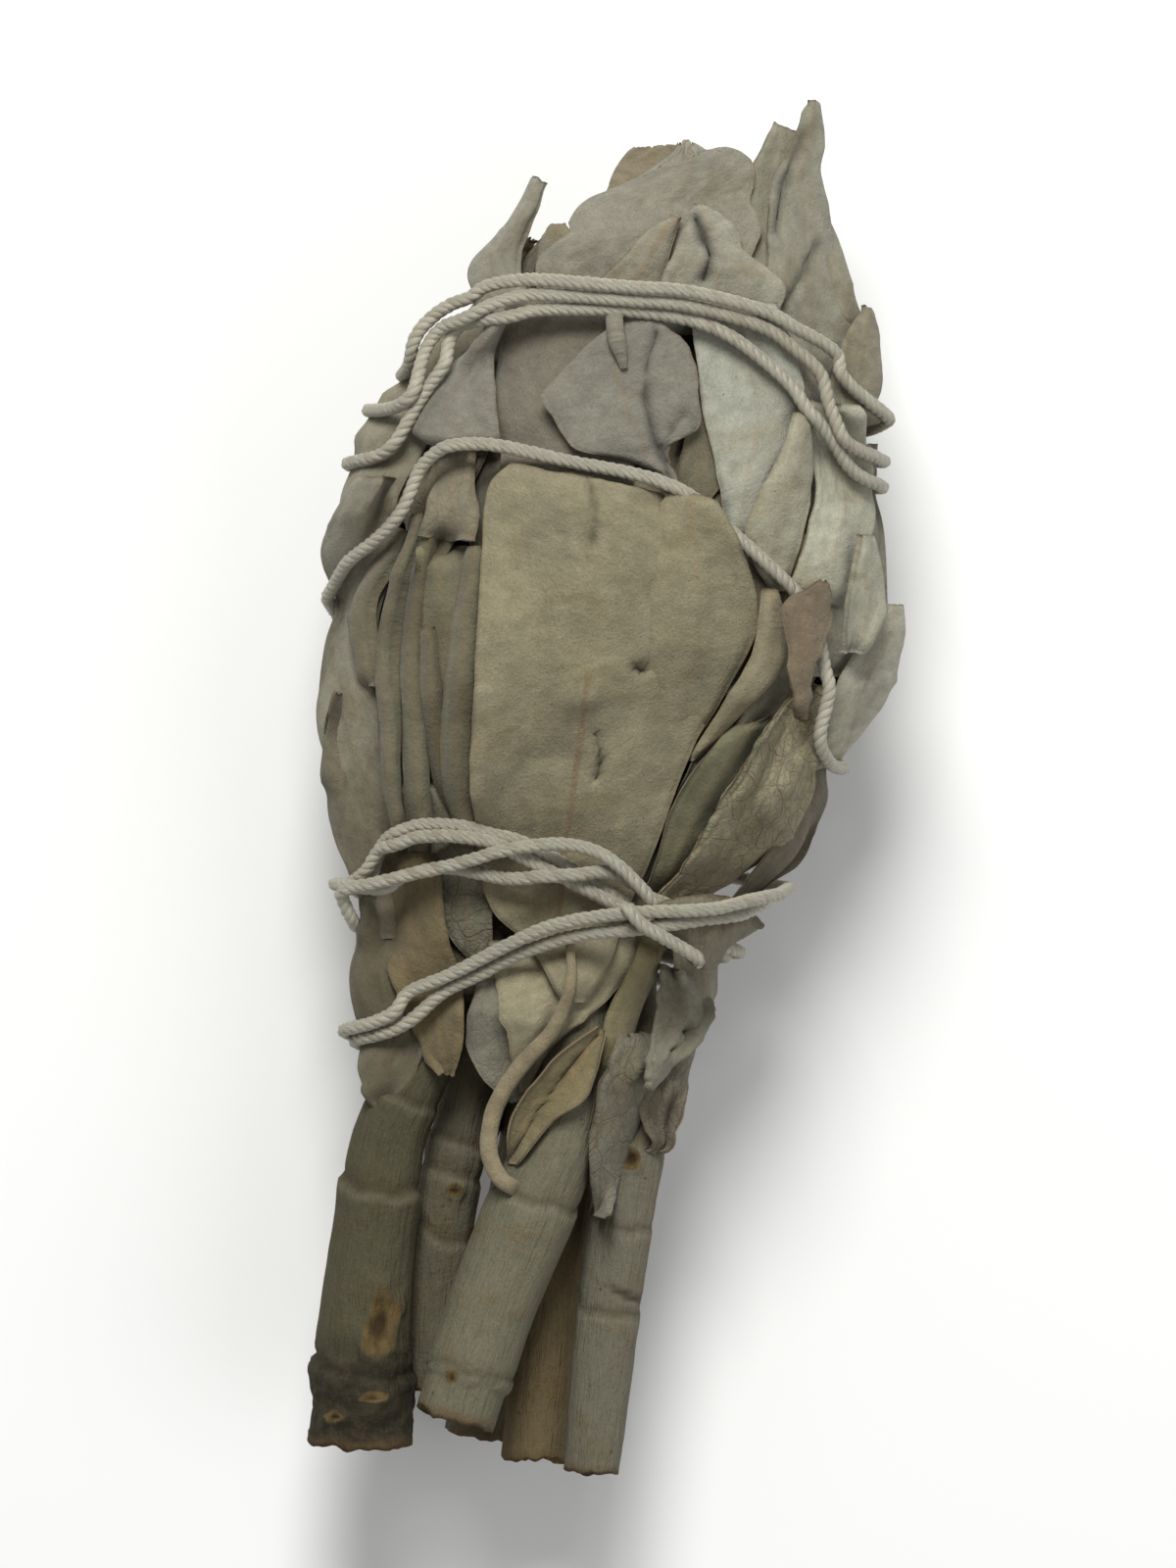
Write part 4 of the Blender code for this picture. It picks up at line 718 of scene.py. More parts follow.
def noise(x, y, size, seed, octaves=2):
    """Smooth noise from -1 to 1, with features of the given size."""
    total, most = 0.0, 0.0
    for k in range(octaves):
        fx, fy = np.asarray(x) / size * 2**k, np.asarray(y) / size * 2**k
        ix, iy = np.floor(fx), np.floor(fy)
        tx, ty = fx - ix, fy - iy
        tx, ty = tx * tx * (3 - 2 * tx), ty * ty * (3 - 2 * ty)
        s = seed + 17.0 * k
        low = hashed(ix, iy, s) * (1 - tx) + hashed(ix + 1, iy, s) * tx
        high = hashed(ix, iy + 1, s) * (1 - tx) + hashed(ix + 1, iy + 1, s) * tx
        total = total + (low * (1 - ty) + high * ty - 0.5) * 2 * 0.5**k
        most += 0.5**k
    return total / most


def apart(x, y, line):
    """Distance of each place from a line of points, all in one plane."""
    best = np.full(np.shape(x), 1e9)
    for (ax, ay), (bx, by) in zip(line, line[1:]):
        dx, dy = bx - ax, by - ay
        t = np.clip(((x - ax) * dx + (y - ay) * dy) / max(dx * dx + dy * dy, 1e-9), 0, 1)
        best = np.minimum(best, np.hypot(x - ax - t * dx, y - ay - t * dy))
    return best


class HeightMap:
    """The top of everything laid so far, as a lift for each angle and y."""

    def __init__(self):
        self.ys = np.arange(LOW_Y, HIGH_Y, MAP_CELL)
        self.lifts = np.full((len(self.ys), MAP_ROUND), EMPTY)

    def places(self):
        angle = np.arange(MAP_ROUND) * 2 * math.pi / MAP_ROUND
        return np.meshgrid(angle, self.ys)

    def at(self, angle, y):
        col = np.mod(np.asarray(angle) / (2 * math.pi) * MAP_ROUND, MAP_ROUND)
        row = np.clip((np.asarray(y) - self.ys[0]) / MAP_CELL, 0, len(self.ys) - 1.001)
        c0, r0 = np.floor(col).astype(int) % MAP_ROUND, np.floor(row).astype(int)
        c1, r1 = (c0 + 1) % MAP_ROUND, r0 + 1
        tc, tr = col - np.floor(col), row - r0
        low = self.lifts[r0, c0] * (1 - tc) + self.lifts[r0, c1] * tc
        high = self.lifts[r1, c0] * (1 - tc) + self.lifts[r1, c1] * tc
        return low * (1 - tr) + high * tr

    def high(self, angle, y):
        """The highest lift within about 2 mm of a place."""
        da, dy = np.meshgrid(np.linspace(-0.12, 0.12, 5), np.linspace(-2, 2, 5))
        return max(float(np.max(self.at(angle + da, y + dy))), 0.0)

    def add(self, angle, y, lift):
        col = np.floor(np.mod(np.ravel(angle) / (2 * math.pi) * MAP_ROUND, MAP_ROUND)).astype(int) % MAP_ROUND
        row = np.clip(np.floor((np.ravel(y) - self.ys[0]) / MAP_CELL).astype(int), 0, len(self.ys) - 2)
        for dr in (0, 1):
            for dc in (0, 1):
                np.maximum.at(self.lifts, (row + dr, (col + dc) % MAP_ROUND), np.ravel(lift))


def evened(points):
    """Each point of a grid, or of one column, as the mean of its neighbours."""
    grown = np.pad(points, ((1, 1), (1, 1), (0, 0)), mode="edge")
    if points.shape[1] > 1:
        return (grown[:-2, 1:-1] + grown[2:, 1:-1] + grown[1:-1, :-2] + grown[1:-1, 2:]) / 4
    return (grown[:-2, 1:-1] + grown[2:, 1:-1]) / 2


def draped(angle, y, needed, rounds, held=1):
    """Lifts of a taut sheet or string over the needed ones: it bridges the hollows between the high places."""
    base = on_body(angle, y, 0)
    out = on_body(angle, y, 1) - base
    lifts = needed.copy()
    for row in range(held, len(lifts)):
        lifts[row] = np.maximum(needed[row], lifts[row - 1] - 0.4 * abs(y[row] - y[row - 1]))
    for _ in range(rounds):
        level = np.einsum("ijk,ijk->ij", evened(base + lifts[..., None] * out) - base, out)
        level[:held] = lifts[:held]
        level[-1] = lifts[-1]
        lifts = np.maximum(needed, level)
    return lifts


def placed(height, x, y):
    """(angle, y) of the place on everything laid so far that shows x right and y up of the view's middle."""
    want = turned(x, y)[0]
    angle, y = seen(x, y)
    for _ in range(4):
        near = 0.5 * (height.high(angle, y) + float(height.at(angle, y)))
        half = float(np.interp(y, YS, HALF_WIDTH)) + near + TWINE_RADIUS
        out = (want - float(np.interp(y, YS, MIDDLE))) / half
        angle = math.copysign(math.asin(min(abs(out), 1)) + 1.5 * max(abs(out) - 1, 0), out)
    return angle, y


def sheet_mesh(points, thick):
    """A closed blade with rounded rims round a grid of points."""
    rows, cols = points.shape[:2]
    du, dv = np.gradient(points, axis=1), np.gradient(points, axis=0)
    normals = np.cross(du, dv)
    normals /= np.maximum(np.linalg.norm(normals, axis=-1), 1e-9)[..., None]
    half = (thick / 2)[..., None] * normals
    verts = np.vstack([(points - half).reshape(-1, 3), (points + half).reshape(-1, 3)])
    n = rows * cols
    index = np.arange(n).reshape(rows, cols)
    corner = np.stack([index[:-1, :-1], index[:-1, 1:], index[1:, 1:], index[1:, :-1]], -1)
    quads = corner.reshape(-1, 4)
    rims = []
    for cells, p, q in ((corner[0], 0, 1), (corner[:, -1], 1, 2), (corner[-1], 2, 3), (corner[:, 0], 3, 0)):
        a, b = cells[:, p], cells[:, q]
        rims.append(np.stack([b, a, a + n, b + n], 1))
    return verts, np.vstack([quads[:, ::-1], quads + n] + rims)


def make_piece(name, made, look, node=None):
    """A mesh object that rides on the root and stands for a node of the solids. made is its points, its faces,
    numbers or colours for each point, and a place for each point. A quad may have two corners at one point."""
    verts, faces, data, uv = made
    used, index = np.unique(faces, return_inverse=True)
    plain = [list(dict.fromkeys(f)) for f in index.reshape(faces.shape).tolist()]
    mesh = bpy.data.meshes.new(name)
    mesh.from_pydata(((verts[used] + SHIFT) * MM).tolist(), [], plain)
    for key, values in data.items():
        if values.ndim == 2:
            layer = mesh.attributes.new(key, "FLOAT_COLOR", "POINT")
            full = np.hstack([values[used], np.ones((len(used), 1))]).astype(np.float32)
            layer.data.foreach_set("color", np.ascontiguousarray(full).ravel())
        else:
            layer = mesh.attributes.new(key, "FLOAT", "POINT")
            layer.data.foreach_set("value", np.ascontiguousarray(values[used], dtype=np.float32))
    layer = mesh.uv_layers.new(name="place")
    loops = np.empty(len(mesh.loops), np.int32)
    mesh.loops.foreach_get("vertex_index", loops)
    layer.data.foreach_set("uv", np.ascontiguousarray(uv[used][loops], dtype=np.float32).ravel())
    mesh.polygons.foreach_set("use_smooth", [True] * len(mesh.polygons))
    mesh.materials.append(look)
    mesh.update()
    obj = bpy.data.objects.new(name, mesh)
    bpy.context.scene.collection.objects.link(obj)
    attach(obj, "root")
    if node:
        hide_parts(node)


class Blade:
    """One leaf's grid, its own form, and where it lies. Its edges are places in the view, or angles and ys."""

    def __init__(self, left, right, seed, view=False, **form):
        self.seed, self.form, self.view = seed, form, view
        flat_l, flat_r = (
            [(angle * ARC, y) for angle, y in (seen(*p) if view else p for p in edge)] for edge in (left, right)
        )
        length = max(spline(flat_l, 2)[1], spline(flat_r, 2)[1])
        wide = max(math.dist(p, q) for p, q in zip(flat_l, flat_r))
        rows, cols = max(8, round(length / CELL) + 1), max(7, round(wide / CELL) + 1)
        left, right = ([turned(*p) for p in edge] for edge in (left, right)) if view else (flat_l, flat_r)
        edge_l, edge_r = spline(left, rows)[0], spline(right, rows)[0]
        ragged = form.get("ragged", 0.12)
        along = np.linspace(0, 1, rows) * length
        away = edge_r - edge_l
        away /= np.maximum(np.linalg.norm(away, axis=1), 1e-6)[:, None]
        edge_l = edge_l + away * (ragged * noise(along, 0 * along, 2.2, seed, 3))[:, None]
        edge_r = edge_r + away * (ragged * noise(along, 5 + 0 * along, 2.2, seed + 3, 3))[:, None]
        share = np.linspace(0, 1, cols)
        grid = edge_l[:, None] * (1 - share)[None, :, None] + edge_r[:, None] * share[None, :, None]
        tip = form.get("ragged_tip", ragged)
        uneven = tip * noise(share * wide, 0 * share, 1.6, seed + 5, 3)
        grid[..., 1] += uneven[None] * np.linspace(0, 1, rows)[:, None] ** 8
        self.px, self.y = grid[..., 0], grid[..., 1]
        self.u, self.v = np.meshgrid(np.linspace(-1, 1, cols), np.linspace(0, 1, rows))
        across = np.linalg.norm(spline(flat_r, rows)[0] - spline(flat_l, rows)[0], axis=1)
        self.width = across[:, None] + 0 * self.u
        self.angle = self.px / ARC
        self.aim(LAYERS + 0 * self.u)
        self.x_mm = self.u * self.width / 2
        self.y_mm = self.v * length
        self.edge = np.minimum((1 - np.abs(self.u)) * self.width / 2, (1 - self.v) * length)
        if "rib" in form:
            self.rib = self.off(form["rib"])
        else:
            self.rib = np.abs(self.x_mm - 0.06 * self.width * noise(self.y_mm, 0 * self.y_mm, 9, seed + 11, 1))
        # Painted shade along the narrow creases, from 0 to 1, which darkens the leaf's colour there
        self.fold = np.zeros_like(self.rib)
        self.thick = LEAF_THICK * (0.45 + 0.55 * np.clip(self.edge / 0.5, 0, 1))

    def off(self, line):
        """Distance from a line of places in the view."""
        return apart(self.px, self.y, [turned(*p) for p in line])

    def aim(self, lift):
        """Turns each point round the bunch until it shows where it was traced. Where a leaf was traced past the
        bunch's side it bulges outwards. Returns the lift with that bulge."""
        if not self.view:
            return lift
        away = self.px - np.interp(self.y, YS, MIDDLE)
        reach = np.maximum(np.interp(self.y, YS, HALF_WIDTH) + lift, 3.0)
        out = np.abs(away) / reach
        most = np.clip((np.abs(away) - reach).max(axis=1), 0, MOST_OFF)
        most = np.convolve(np.pad(most, 4, mode="edge"), np.ones(9) / 9, mode="valid")[:, None]
        share = np.clip((out - BULGES_FROM) / np.maximum(out.max(axis=1)[:, None] - BULGES_FROM, 0.05), 0, 1)
        gain = most * share * share * (3 - 2 * share)
        self.angle = np.arcsin(np.clip(away / (reach + gain), -1, 1))
        for _ in range(EDGE_ROUNDS):
            share = np.clip((np.abs(self.angle) - 0.9) / 0.4, 0, 1)
            self.angle += share * (evened(self.angle[..., None])[..., 0] - self.angle)
        return lift + gain

    def own_form(self):
        """What the leaf's own shape adds to its lift."""
        f, u, v, seed = self.form, self.u, self.v, self.seed
        bow = f.get("bow", 0.5)
        if f.get("round"):
            lift = bow * np.sqrt(np.clip(1 - np.abs(u) ** 2.4, 0, 1))
        else:
            lift = bow * (1 - u**2)
        curl, rise = f.get("curl", (0, 0)), f.get("rise", (0, 0))
        lift = lift + curl[0] * np.maximum(-u, 0) ** 4 + curl[1] * np.maximum(u, 0) ** 4
        lift = lift + rise[0] * (1 - v) ** 3 + rise[1] * v**3
        ripple = f.get("ripple", 0.25)
        waves = noise(self.y_mm * 0.5 + 40 * np.sign(u), 0.4 * self.x_mm, 3.2, seed + 1, 2)
        lift = lift + ripple * np.abs(u) ** 2.5 * (1 + 1.6 * waves)
        crumple = f.get("crumple", 0.22)
        lift = lift + crumple * noise(self.x_mm, 0.5 * self.y_mm, 5.0, seed + 2, 2)
        lift = lift + 0.35 * crumple * noise(self.x_mm, 0.16 * self.y_mm, 1.3, seed + 4, 2)
        lift = lift + f.get("hem", 0.1) * np.exp(-(((self.edge - 0.55) / 0.4) ** 2))
        lift = lift + 0.1 * np.exp(-((self.rib / 0.5) ** 2))
        for line, depth, width in f.get("creases", ()):
            wander = 0.25 * noise(self.px, self.y, 1.5, seed + 9, 2)
            near = np.exp(-(((self.off(line) + wander) / width) ** 2))
            lift = lift - depth * near
            # A narrow crease also gets painted shade: how near it is darkens the leaf's colour there
            if width < 0.6:
                self.fold = np.maximum(self.fold, near * min(1, abs(depth)))
        for place, height, reach in f.get("lumps", ()):
            px, y = turned(*place)
            lift = lift + height * np.exp(-((self.px - px) ** 2 + (self.y - y) ** 2) / reach**2)
        return lift

    def sunk(self):
        """How deep the leaf's base end, and a side that grows out of another leaf, go into what is beneath."""
        deep, reach = self.form.get("root", (0.9, 2.0))
        sink = deep * np.clip(1 - self.y_mm / reach, 0, 1) ** 2
        for side, (deep, reach) in zip((-1, 1), self.form.get("sides", ((0, 1), (0, 1)))):
            off = (1 - side * self.u) * self.width / 2
            sink = np.maximum(sink, deep * np.clip(1 - off / reach, 0, 1) ** 2)
        return sink

    def lay(self, height):
        """Drapes the leaf over the map, and adds it to the map."""
        form = self.own_form()
        form -= min(form.min(), 0)
        for rounds in (60, 60, 150) if self.view else (150,):
            needed = height.at(self.angle, self.y)
            grown = np.pad(needed, 1, mode="edge")
            near = [grown[i : i + needed.shape[0], j : j + needed.shape[1]] for i in range(3) for j in range(3)]
            needed = np.maximum(needed, 0.5 * np.max(near, axis=0) + 0.5 * needed) + 0.5 * self.thick + GAP
            taut = draped(self.angle, self.y, needed, rounds)
            self.lift = self.aim(np.maximum(taut + form, needed) - self.sunk())
        height.add(self.angle, self.y, self.lift + 0.5 * self.thick)

    def mesh(self, pinch=None):
        """Points, faces, data and places of the blade, drawn in where the string presses it."""
        lift = self.lift if pinch is None else self.lift - pinch.at(self.angle, self.y)
        verts, faces = sheet_mesh(on_body(self.angle, self.y, lift), self.thick)
        data = {"rib": self.rib, "edge": self.edge, "fold": self.fold}
        data = {k: np.tile(v.ravel(), 2) for k, v in data.items()}
        across, along = self.x_mm + 31.7 * (self.seed % 29), self.y_mm + 17.3 * (self.seed % 31)
        return verts, faces, data, np.tile(np.stack([across.ravel(), along.ravel()], 1) * 0.1, (2, 1))


def joined(parts):
    """Several (points, faces, data, places) as one."""
    verts = np.vstack([p[0] for p in parts])
    start = np.cumsum([0] + [len(p[0]) for p in parts[:-1]])
    faces = np.vstack([p[1] + s for p, s in zip(parts, start)])
    data = {k: np.concatenate([p[2][k] for p in parts]) for k in parts[0][2]}
    return verts, faces, data, np.vstack([p[3] for p in parts])


def grid_tube(centres, offsets):
    """Points and quads of an open tube whose rings are centres[i] + offsets[i, j]."""
    count, sides = offsets.shape[:2]
    verts = (centres[:, None] + offsets).reshape(-1, 3)
    a = np.arange(count - 1)[:, None] * sides + np.arange(sides)
    b = np.arange(count - 1)[:, None] * sides + (np.arange(sides) + 1) % sides
    faces = np.stack([a, b, b + sides, a + sides], -1).reshape(-1, 4)
    return verts, faces


def frames(centres, up):
    """Along, out and side directions at each point of a line."""
    along = np.gradient(centres, axis=0)
    along /= np.linalg.norm(along, axis=1)[:, None]
    side = np.cross(along, up)
    side /= np.linalg.norm(side, axis=1)[:, None]
    return along, np.cross(side, along), side


def stem_line(name):
    """A stem's middle line and radius every STEM_STEP."""
    points, radii, deep_foot, deep_top = STEMS[name]
    flat = np.array([turned(*p) for p in points])
    length = spline(flat, 2)[1]
    line = spline(flat, max(20, round(length / STEM_STEP)))[0]
    share = np.linspace(0, 1, len(line))
    radius = np.interp(share, np.linspace(0, 1, len(radii)), radii)
    deep = deep_foot + (deep_top - deep_foot) * share
    centres = np.stack([line[:, 0], line[:, 1], AXIS_HEIGHT + AXIS_RISE * line[:, 1] + deep], axis=1)
    return centres, radius, share * length


def build_stem(name, seed):
    """One stem: ridged bark, the rings where leaves grew, and a rough cut end."""
    centres, radius, along_mm = stem_line(name)
    turn = np.arange(STEM_AROUND) * 2 * math.pi / STEM_AROUND - math.pi
    _, out, side = frames(centres, np.array([[0.0, 0.0, 1.0]]))
    phi, s = np.meshgrid(turn, along_mm)
    arc = phi * radius.mean()
    r = radius[:, None] * (1 + 0.035 * np.cos(2 * phi + seed) + 0.02 * np.cos(3 * phi + 2 * seed))
    behind = (phi % (2 * math.pi)) * radius.mean() + 50

    def bark(y, size, key, octaves=2):
        front, back = noise(arc, y, size, key, octaves), noise(behind, y, size, key, octaves)
        return 0.5 * (front * (1 + np.cos(phi)) + back * (1 - np.cos(phi)))

    r = r + 0.09 * bark(s * 0.08, 0.8, seed) + 0.22 * bark(s * 0.5, 4.0, seed + 1)
    r = r + 0.05 * bark(s * 0.7, 1.1, seed + 5)
    ring, dark = np.zeros_like(r), np.zeros_like(r)
    y_here = centres[:, 1][:, None] + 0 * r
    for ring_y, stands in STEM_NODES.get(name, ()):
        wave = 0.5 * np.sin(phi + seed) + 0.7 * bark(0 * arc, 3.2, seed + ring_y)
        wave = wave + 0.3 * bark(0 * arc, 0.8, seed)
        d = y_here - ring_y - wave
        r = r + stands * np.where(d < 0, np.exp(-((d / 2.2) ** 2)), np.exp(-((d / 0.22) ** 2)))
        r = r - 0.6 * stands * np.exp(-(((d - 0.6) / 0.4) ** 2))
        ring = np.maximum(ring, np.exp(-(((d + 0.2) / 0.35) ** 2)))
        # Painted shade: dark in the sunk groove beside the ring's lip
        dark = np.maximum(dark, np.exp(-(((d - 0.5) / 0.35) ** 2)))
    rough = np.zeros_like(r)
    if name in STEM_GNARL:
        gnarl_y, gnarl = STEM_GNARL[name]
        rough = np.clip((gnarl_y - y_here) / 4.0, 0, 1)
        r = r + gnarl * rough * (bark(s, 1.6, seed + 7, 3) + 0.4)
    scar = np.zeros_like(r)
    for view, size, deep in STEM_SCARS.get(name, ()):
        sx, sy = turned(*view)
        d = np.hypot((centres[:, 0][:, None] + r * np.sin(phi) - sx) / size[0], (y_here - sy) / size[1])
        d = d * (1 + 0.45 * bark(s, 0.9, seed + sx, 3))
        d = np.where(np.cos(phi) > 0, d, 9)
        r = r + deep * np.exp(-((d - 1) ** 2) * 9) - deep * 0.8 * np.exp(-(d**2) * 2.5)
        scar = np.maximum(scar, np.clip(1.25 - d, 0, 1))
    across = centres[:, 0][:, None] + r * np.sin(phi)
    for view, half, slope in STEM_SLITS.get(name, ()):
        sx, sy = turned(*view)
        d = np.hypot((across - sx) / half, (y_here - sy - slope * (across - sx)) / SLIT_WIDTH)
        near = np.where(np.cos(phi) > 0, np.exp(-(d**4)), 0)
        r = r - SLIT_DEPTH * near
        # Painted shade: dark inside the sunk split
        dark = np.maximum(dark, 1.6 * near)
    torn = np.zeros_like(r)
    if name in STEM_TORN:
        torn_y, bark_thick = STEM_TORN[name]
        torn = np.clip((torn_y + 0.5 * bark(0 * arc, 1.4, seed + 9, 3) - y_here) / 0.25, 0, 1)
        r = r - bark_thick * torn
    end_wave = 0.9 * bark(0 * arc, 1.8, seed + 3, 3)
    offsets = r[..., None] * round_about(phi, out, side)
    direction = centres[0] - centres[1]
    direction /= np.linalg.norm(direction)
    fade = np.exp(-(s / 1.2))[..., None]
    offsets = offsets + (end_wave[..., None] * direction) * fade * 0.8
    verts, faces = grid_tube(centres, offsets)
    # The cut end: rings inwards, hollowed and broken
    inner = []
    for k, share in enumerate((0.86, 0.68, 0.45, 0.2)):
        torn = 0.5 * noise(turn * 3.0, np.full_like(turn, k * 2.0), 0.8, seed + 31, 2) - 0.35 * (1 - share)
        inner.append(centres[0] + offsets[0] * share + direction * (torn - 0.25)[:, None])
    base = len(verts)
    verts = np.vstack([verts] + inner + [centres[0:1] + direction * -0.4, centres[-1:]])
    ids = [np.arange(STEM_AROUND)] + [base + k * STEM_AROUND + np.arange(STEM_AROUND) for k in range(4)]
    caps = []
    for outer, nxt in zip(ids, ids[1:]):
        caps.append(np.stack([np.roll(outer, -1), outer, nxt, np.roll(nxt, -1)], 1))
    last = ids[-1]
    tip = len(verts) - 2
    caps.append(np.stack([np.roll(last, -1), last, np.full_like(last, tip), np.full_like(last, tip)], 1))
    head = (len(centres) - 1) * STEM_AROUND + np.arange(STEM_AROUND)
    top = np.full_like(head, tip + 1)
    caps.append(np.stack([head, np.roll(head, -1), top, top], 1))

    def flat(a):
        return np.concatenate([a.ravel(), np.zeros(len(verts) - base)])

    cut = flat(0.75 * torn * np.clip(0.5 + 1.5 * np.sin(phi) + bark(s, 1.2, seed + 12), 0, 1))
    cut[base : tip + 1] = 1
    # dark carries the painted shade of the ring grooves and the bark's splits
    data = {"ring": ring, "scar": scar, "rough": rough, "dark": dark, "from_end": s}
    data = {k: flat(v) for k, v in data.items()}
    data["cut"] = cut
    data["tint"] = np.tile(linear(STEM_TINT[name]), (len(verts), 1))
    uv = np.stack([arc.ravel(), s.ravel()], 1)
    uv = np.vstack([uv, (verts[base:] - centres[0])[:, [0, 2]]]) * 0.1 + seed
    faces = np.vstack([faces] + caps)
    return verts, faces, data, uv


def stems_in_map(height, solids):
    """Adds the stems to the map, by rays from outside."""
    verts, faces = joined(solids)[:2]
    tree = BVHTree.FromPolygons(verts.tolist(), [list(dict.fromkeys(f)) for f in faces.tolist()])
    angle, y = height.places()
    starts = on_body(angle, y, RAY_LIFT)
    down = starts - on_body(angle, y, RAY_LIFT + 1)
    for at in zip(*np.nonzero(y < STEMS_BELOW)):
        hit = tree.ray_cast(Vector(starts[at]), Vector(down[at]), 20)
        if hit[0] is not None:
            height.lifts[at] = max(height.lifts[at], RAY_LIFT - hit[3])


def lance(base_angle, base_y, tip_angle, tip_y, width):
    """The two edges of a plain pointed leaf, as angles and ys."""
    left, right = [], []
    base_angle, tip_angle = math.radians(base_angle), math.radians(tip_angle)
    turn = (tip_angle - base_angle + math.pi) % (2 * math.pi) - math.pi
    for share in np.linspace(0, 1, 7):
        angle = base_angle + turn * share
        y = base_y + (tip_y - base_y) * share
        half = width / 2 * (0.12 + 0.88 * math.sin(math.pi * share**0.85) ** 0.7)
        reach = half / (float(np.interp(y, YS, HALF_WIDTH)) + LAYERS)
        left.append((angle - reach, y))
        right.append((angle + reach, y))
    return left, right


def string_path(height):
    """Angles and ys of the whole string, and the index where each turn ends."""
    places, ends = [], []
    for i, (points, back) in enumerate(TWINE_PASSES):
        around = [placed(height, *p) for p in points]
        around += [(math.radians(a), y) for a, y in zip(BACK_ANGLES, back)]
        places += [(angle + 2 * math.pi * i, y) for angle, y in around]
        ends.append(places[-1][0])
    scale = np.array([20.0, 1.0])
    scaled = np.array(places) * scale
    length = spline(scaled, 2)[1]
    line = spline(scaled, round(length / 0.5))[0]
    side = 0.5 * np.clip((np.abs(np.sin(line[:, :1] / scale[0])) - 0.8) / 0.15, 0, 1)
    for _ in range(SIDE_ROUNDS):
        line[1:-1] += side[1:-1] * ((line[:-2] + line[2:]) / 2 - line[1:-1])
    line = line / scale
    stops = [int(np.searchsorted(line[:, 0], e)) for e in ends[:-1]] + [len(line)]
    return line[:, :1], line[:, 1:], stops


def pinch_map(height, angle, y):
    """How far the string draws the leaves in, at each place."""
    pinch = HeightMap()
    all_angle, all_y = pinch.places()
    field = np.zeros(all_angle.shape)
    line_a, line_y = angle[::3, 0], y[::3, 0]
    for i in range(0, len(line_a)):
        rows = np.abs(pinch.ys - line_y[i]) < 3 * PINCH_WIDTH
        da = (all_angle[rows] - line_a[i] + math.pi) % (2 * math.pi) - math.pi
        d2 = (da * ARC) ** 2 + (all_y[rows] - line_y[i]) ** 2
        field[rows] = np.maximum(field[rows], np.exp(-d2 / PINCH_WIDTH**2))
    pinch.lifts = PINCH * field
    return pinch


def heading(angle, y):
    """The string's direction at each place, on the bunch laid out flat."""
    run = np.gradient(np.hstack([angle * ARC, y]), axis=0)
    return run / np.linalg.norm(run, axis=1)[:, None]


def wind(height, angle, y, lifts, start, stop):
    """Lays one turn of the string on the map."""
    low, high = max(start - 12, 0), min(stop + 20, len(angle))
    held = start - low
    a, yy = angle[low:high], y[low:high]
    run = heading(a, yy)
    needed = np.full(a.shape, EMPTY)
    for offset in (-0.6, -0.3, 0, 0.3, 0.6):
        near = height.at(a - offset * run[:, 1:] / ARC, yy + offset * run[:, :1])
        needed = np.maximum(needed, near - (TWINE_RADIUS - math.sqrt(TWINE_RADIUS**2 - offset**2)))
    needed = needed + TWINE_RADIUS - BITE
    needed[:held] = lifts[low:start]
    lifts[low:high] = draped(a, yy, needed, 500, max(held, 1))
    bit = slice(max(start - 6, 0), stop - 6)
    a, yy = angle[bit], y[bit]
    run = heading(a, yy)
    for offset in np.linspace(-0.6, 0.6, 7):
        rise = math.sqrt(TWINE_RADIUS**2 - offset**2)
        height.add(a - offset * run[:, 1:] / ARC, yy + offset * run[:, :1], lifts[bit] + rise)


def round_about(turn, out, side):
    """Directions round a line, at angles given for each of its points."""
    return np.cos(turn)[..., None] * out[:, None] + np.sin(turn)[..., None] * side[:, None]


def string_mesh(angle, y, lifts):
    """Three strands twisted round each other along the string's middle line."""
    centres = on_body(angle, y, lifts)[:, 0]
    outer = on_body(angle, y, lifts + 1)[:, 0] - centres
    length = np.concatenate([[0], np.cumsum(np.linalg.norm(np.diff(centres, axis=0), axis=1))])
    at = np.arange(0, length[-1], STRAND_STEP)
    centres, outer = (np.stack([np.interp(at, length, v[:, k]) for k in range(3)], 1) for v in (centres, outer))
    _, out, side = frames(centres, outer)
    turn = np.arange(STRAND_SIDES) * 2 * math.pi / STRAND_SIDES
    here = np.arange(STRAND_SIDES)
    after = np.roll(here, -1)
    last = (len(at) - 1) * STRAND_SIDES
    tip = np.full_like(here, len(at) * STRAND_SIDES)
    parts = []
    for k in range(3):
        twist = at / TWINE_PITCH * 2 * math.pi + k * 2 * math.pi / 3 + 0.25 * noise(at, 0 * at, 9.0, k + 3, 2)
        off = STRAND_OFF * (1 + 0.08 * noise(at, 0 * at, 2.0, k + 60, 2))
        middle = centres + off[:, None] * (np.cos(twist)[:, None] * out + np.sin(twist)[:, None] * side)
        _, o, s = frames(middle, out)
        r = STRAND_RADIUS * (1 + 0.05 * noise(at, 0 * at, 1.2, k + 90, 2))
        r = r * np.clip(at / 1.5 + 0.3, 0, 1) * np.clip((at[-1] - at) / 1.5 + 0.3, 0, 1)
        verts, faces = grid_tube(middle, r[:, None, None] * round_about(turn[None], o, s))
        uv = np.stack([np.tile(turn, len(at)) * 0.35, np.repeat(at, STRAND_SIDES)], 1) * 0.1 + k
        verts = np.vstack([verts, middle[:1], middle[-1:]])
        uv = np.vstack([uv, uv[:1], uv[-1:]])
        foot = np.stack([after, here, tip, tip], 1)
        head = np.stack([last + here, last + after, tip + 1, tip + 1], 1)
        parts.append((verts, np.vstack([faces, foot, head]), {}, uv))
    return joined(parts)


def linear(rgb):
    """A colour of 0 to 255 as the light that Blender counts in."""
    return tuple((c / 255 / 12.92) if c <= 10 else ((c / 255 + 0.055) / 1.055) ** 2.4 for c in rgb)


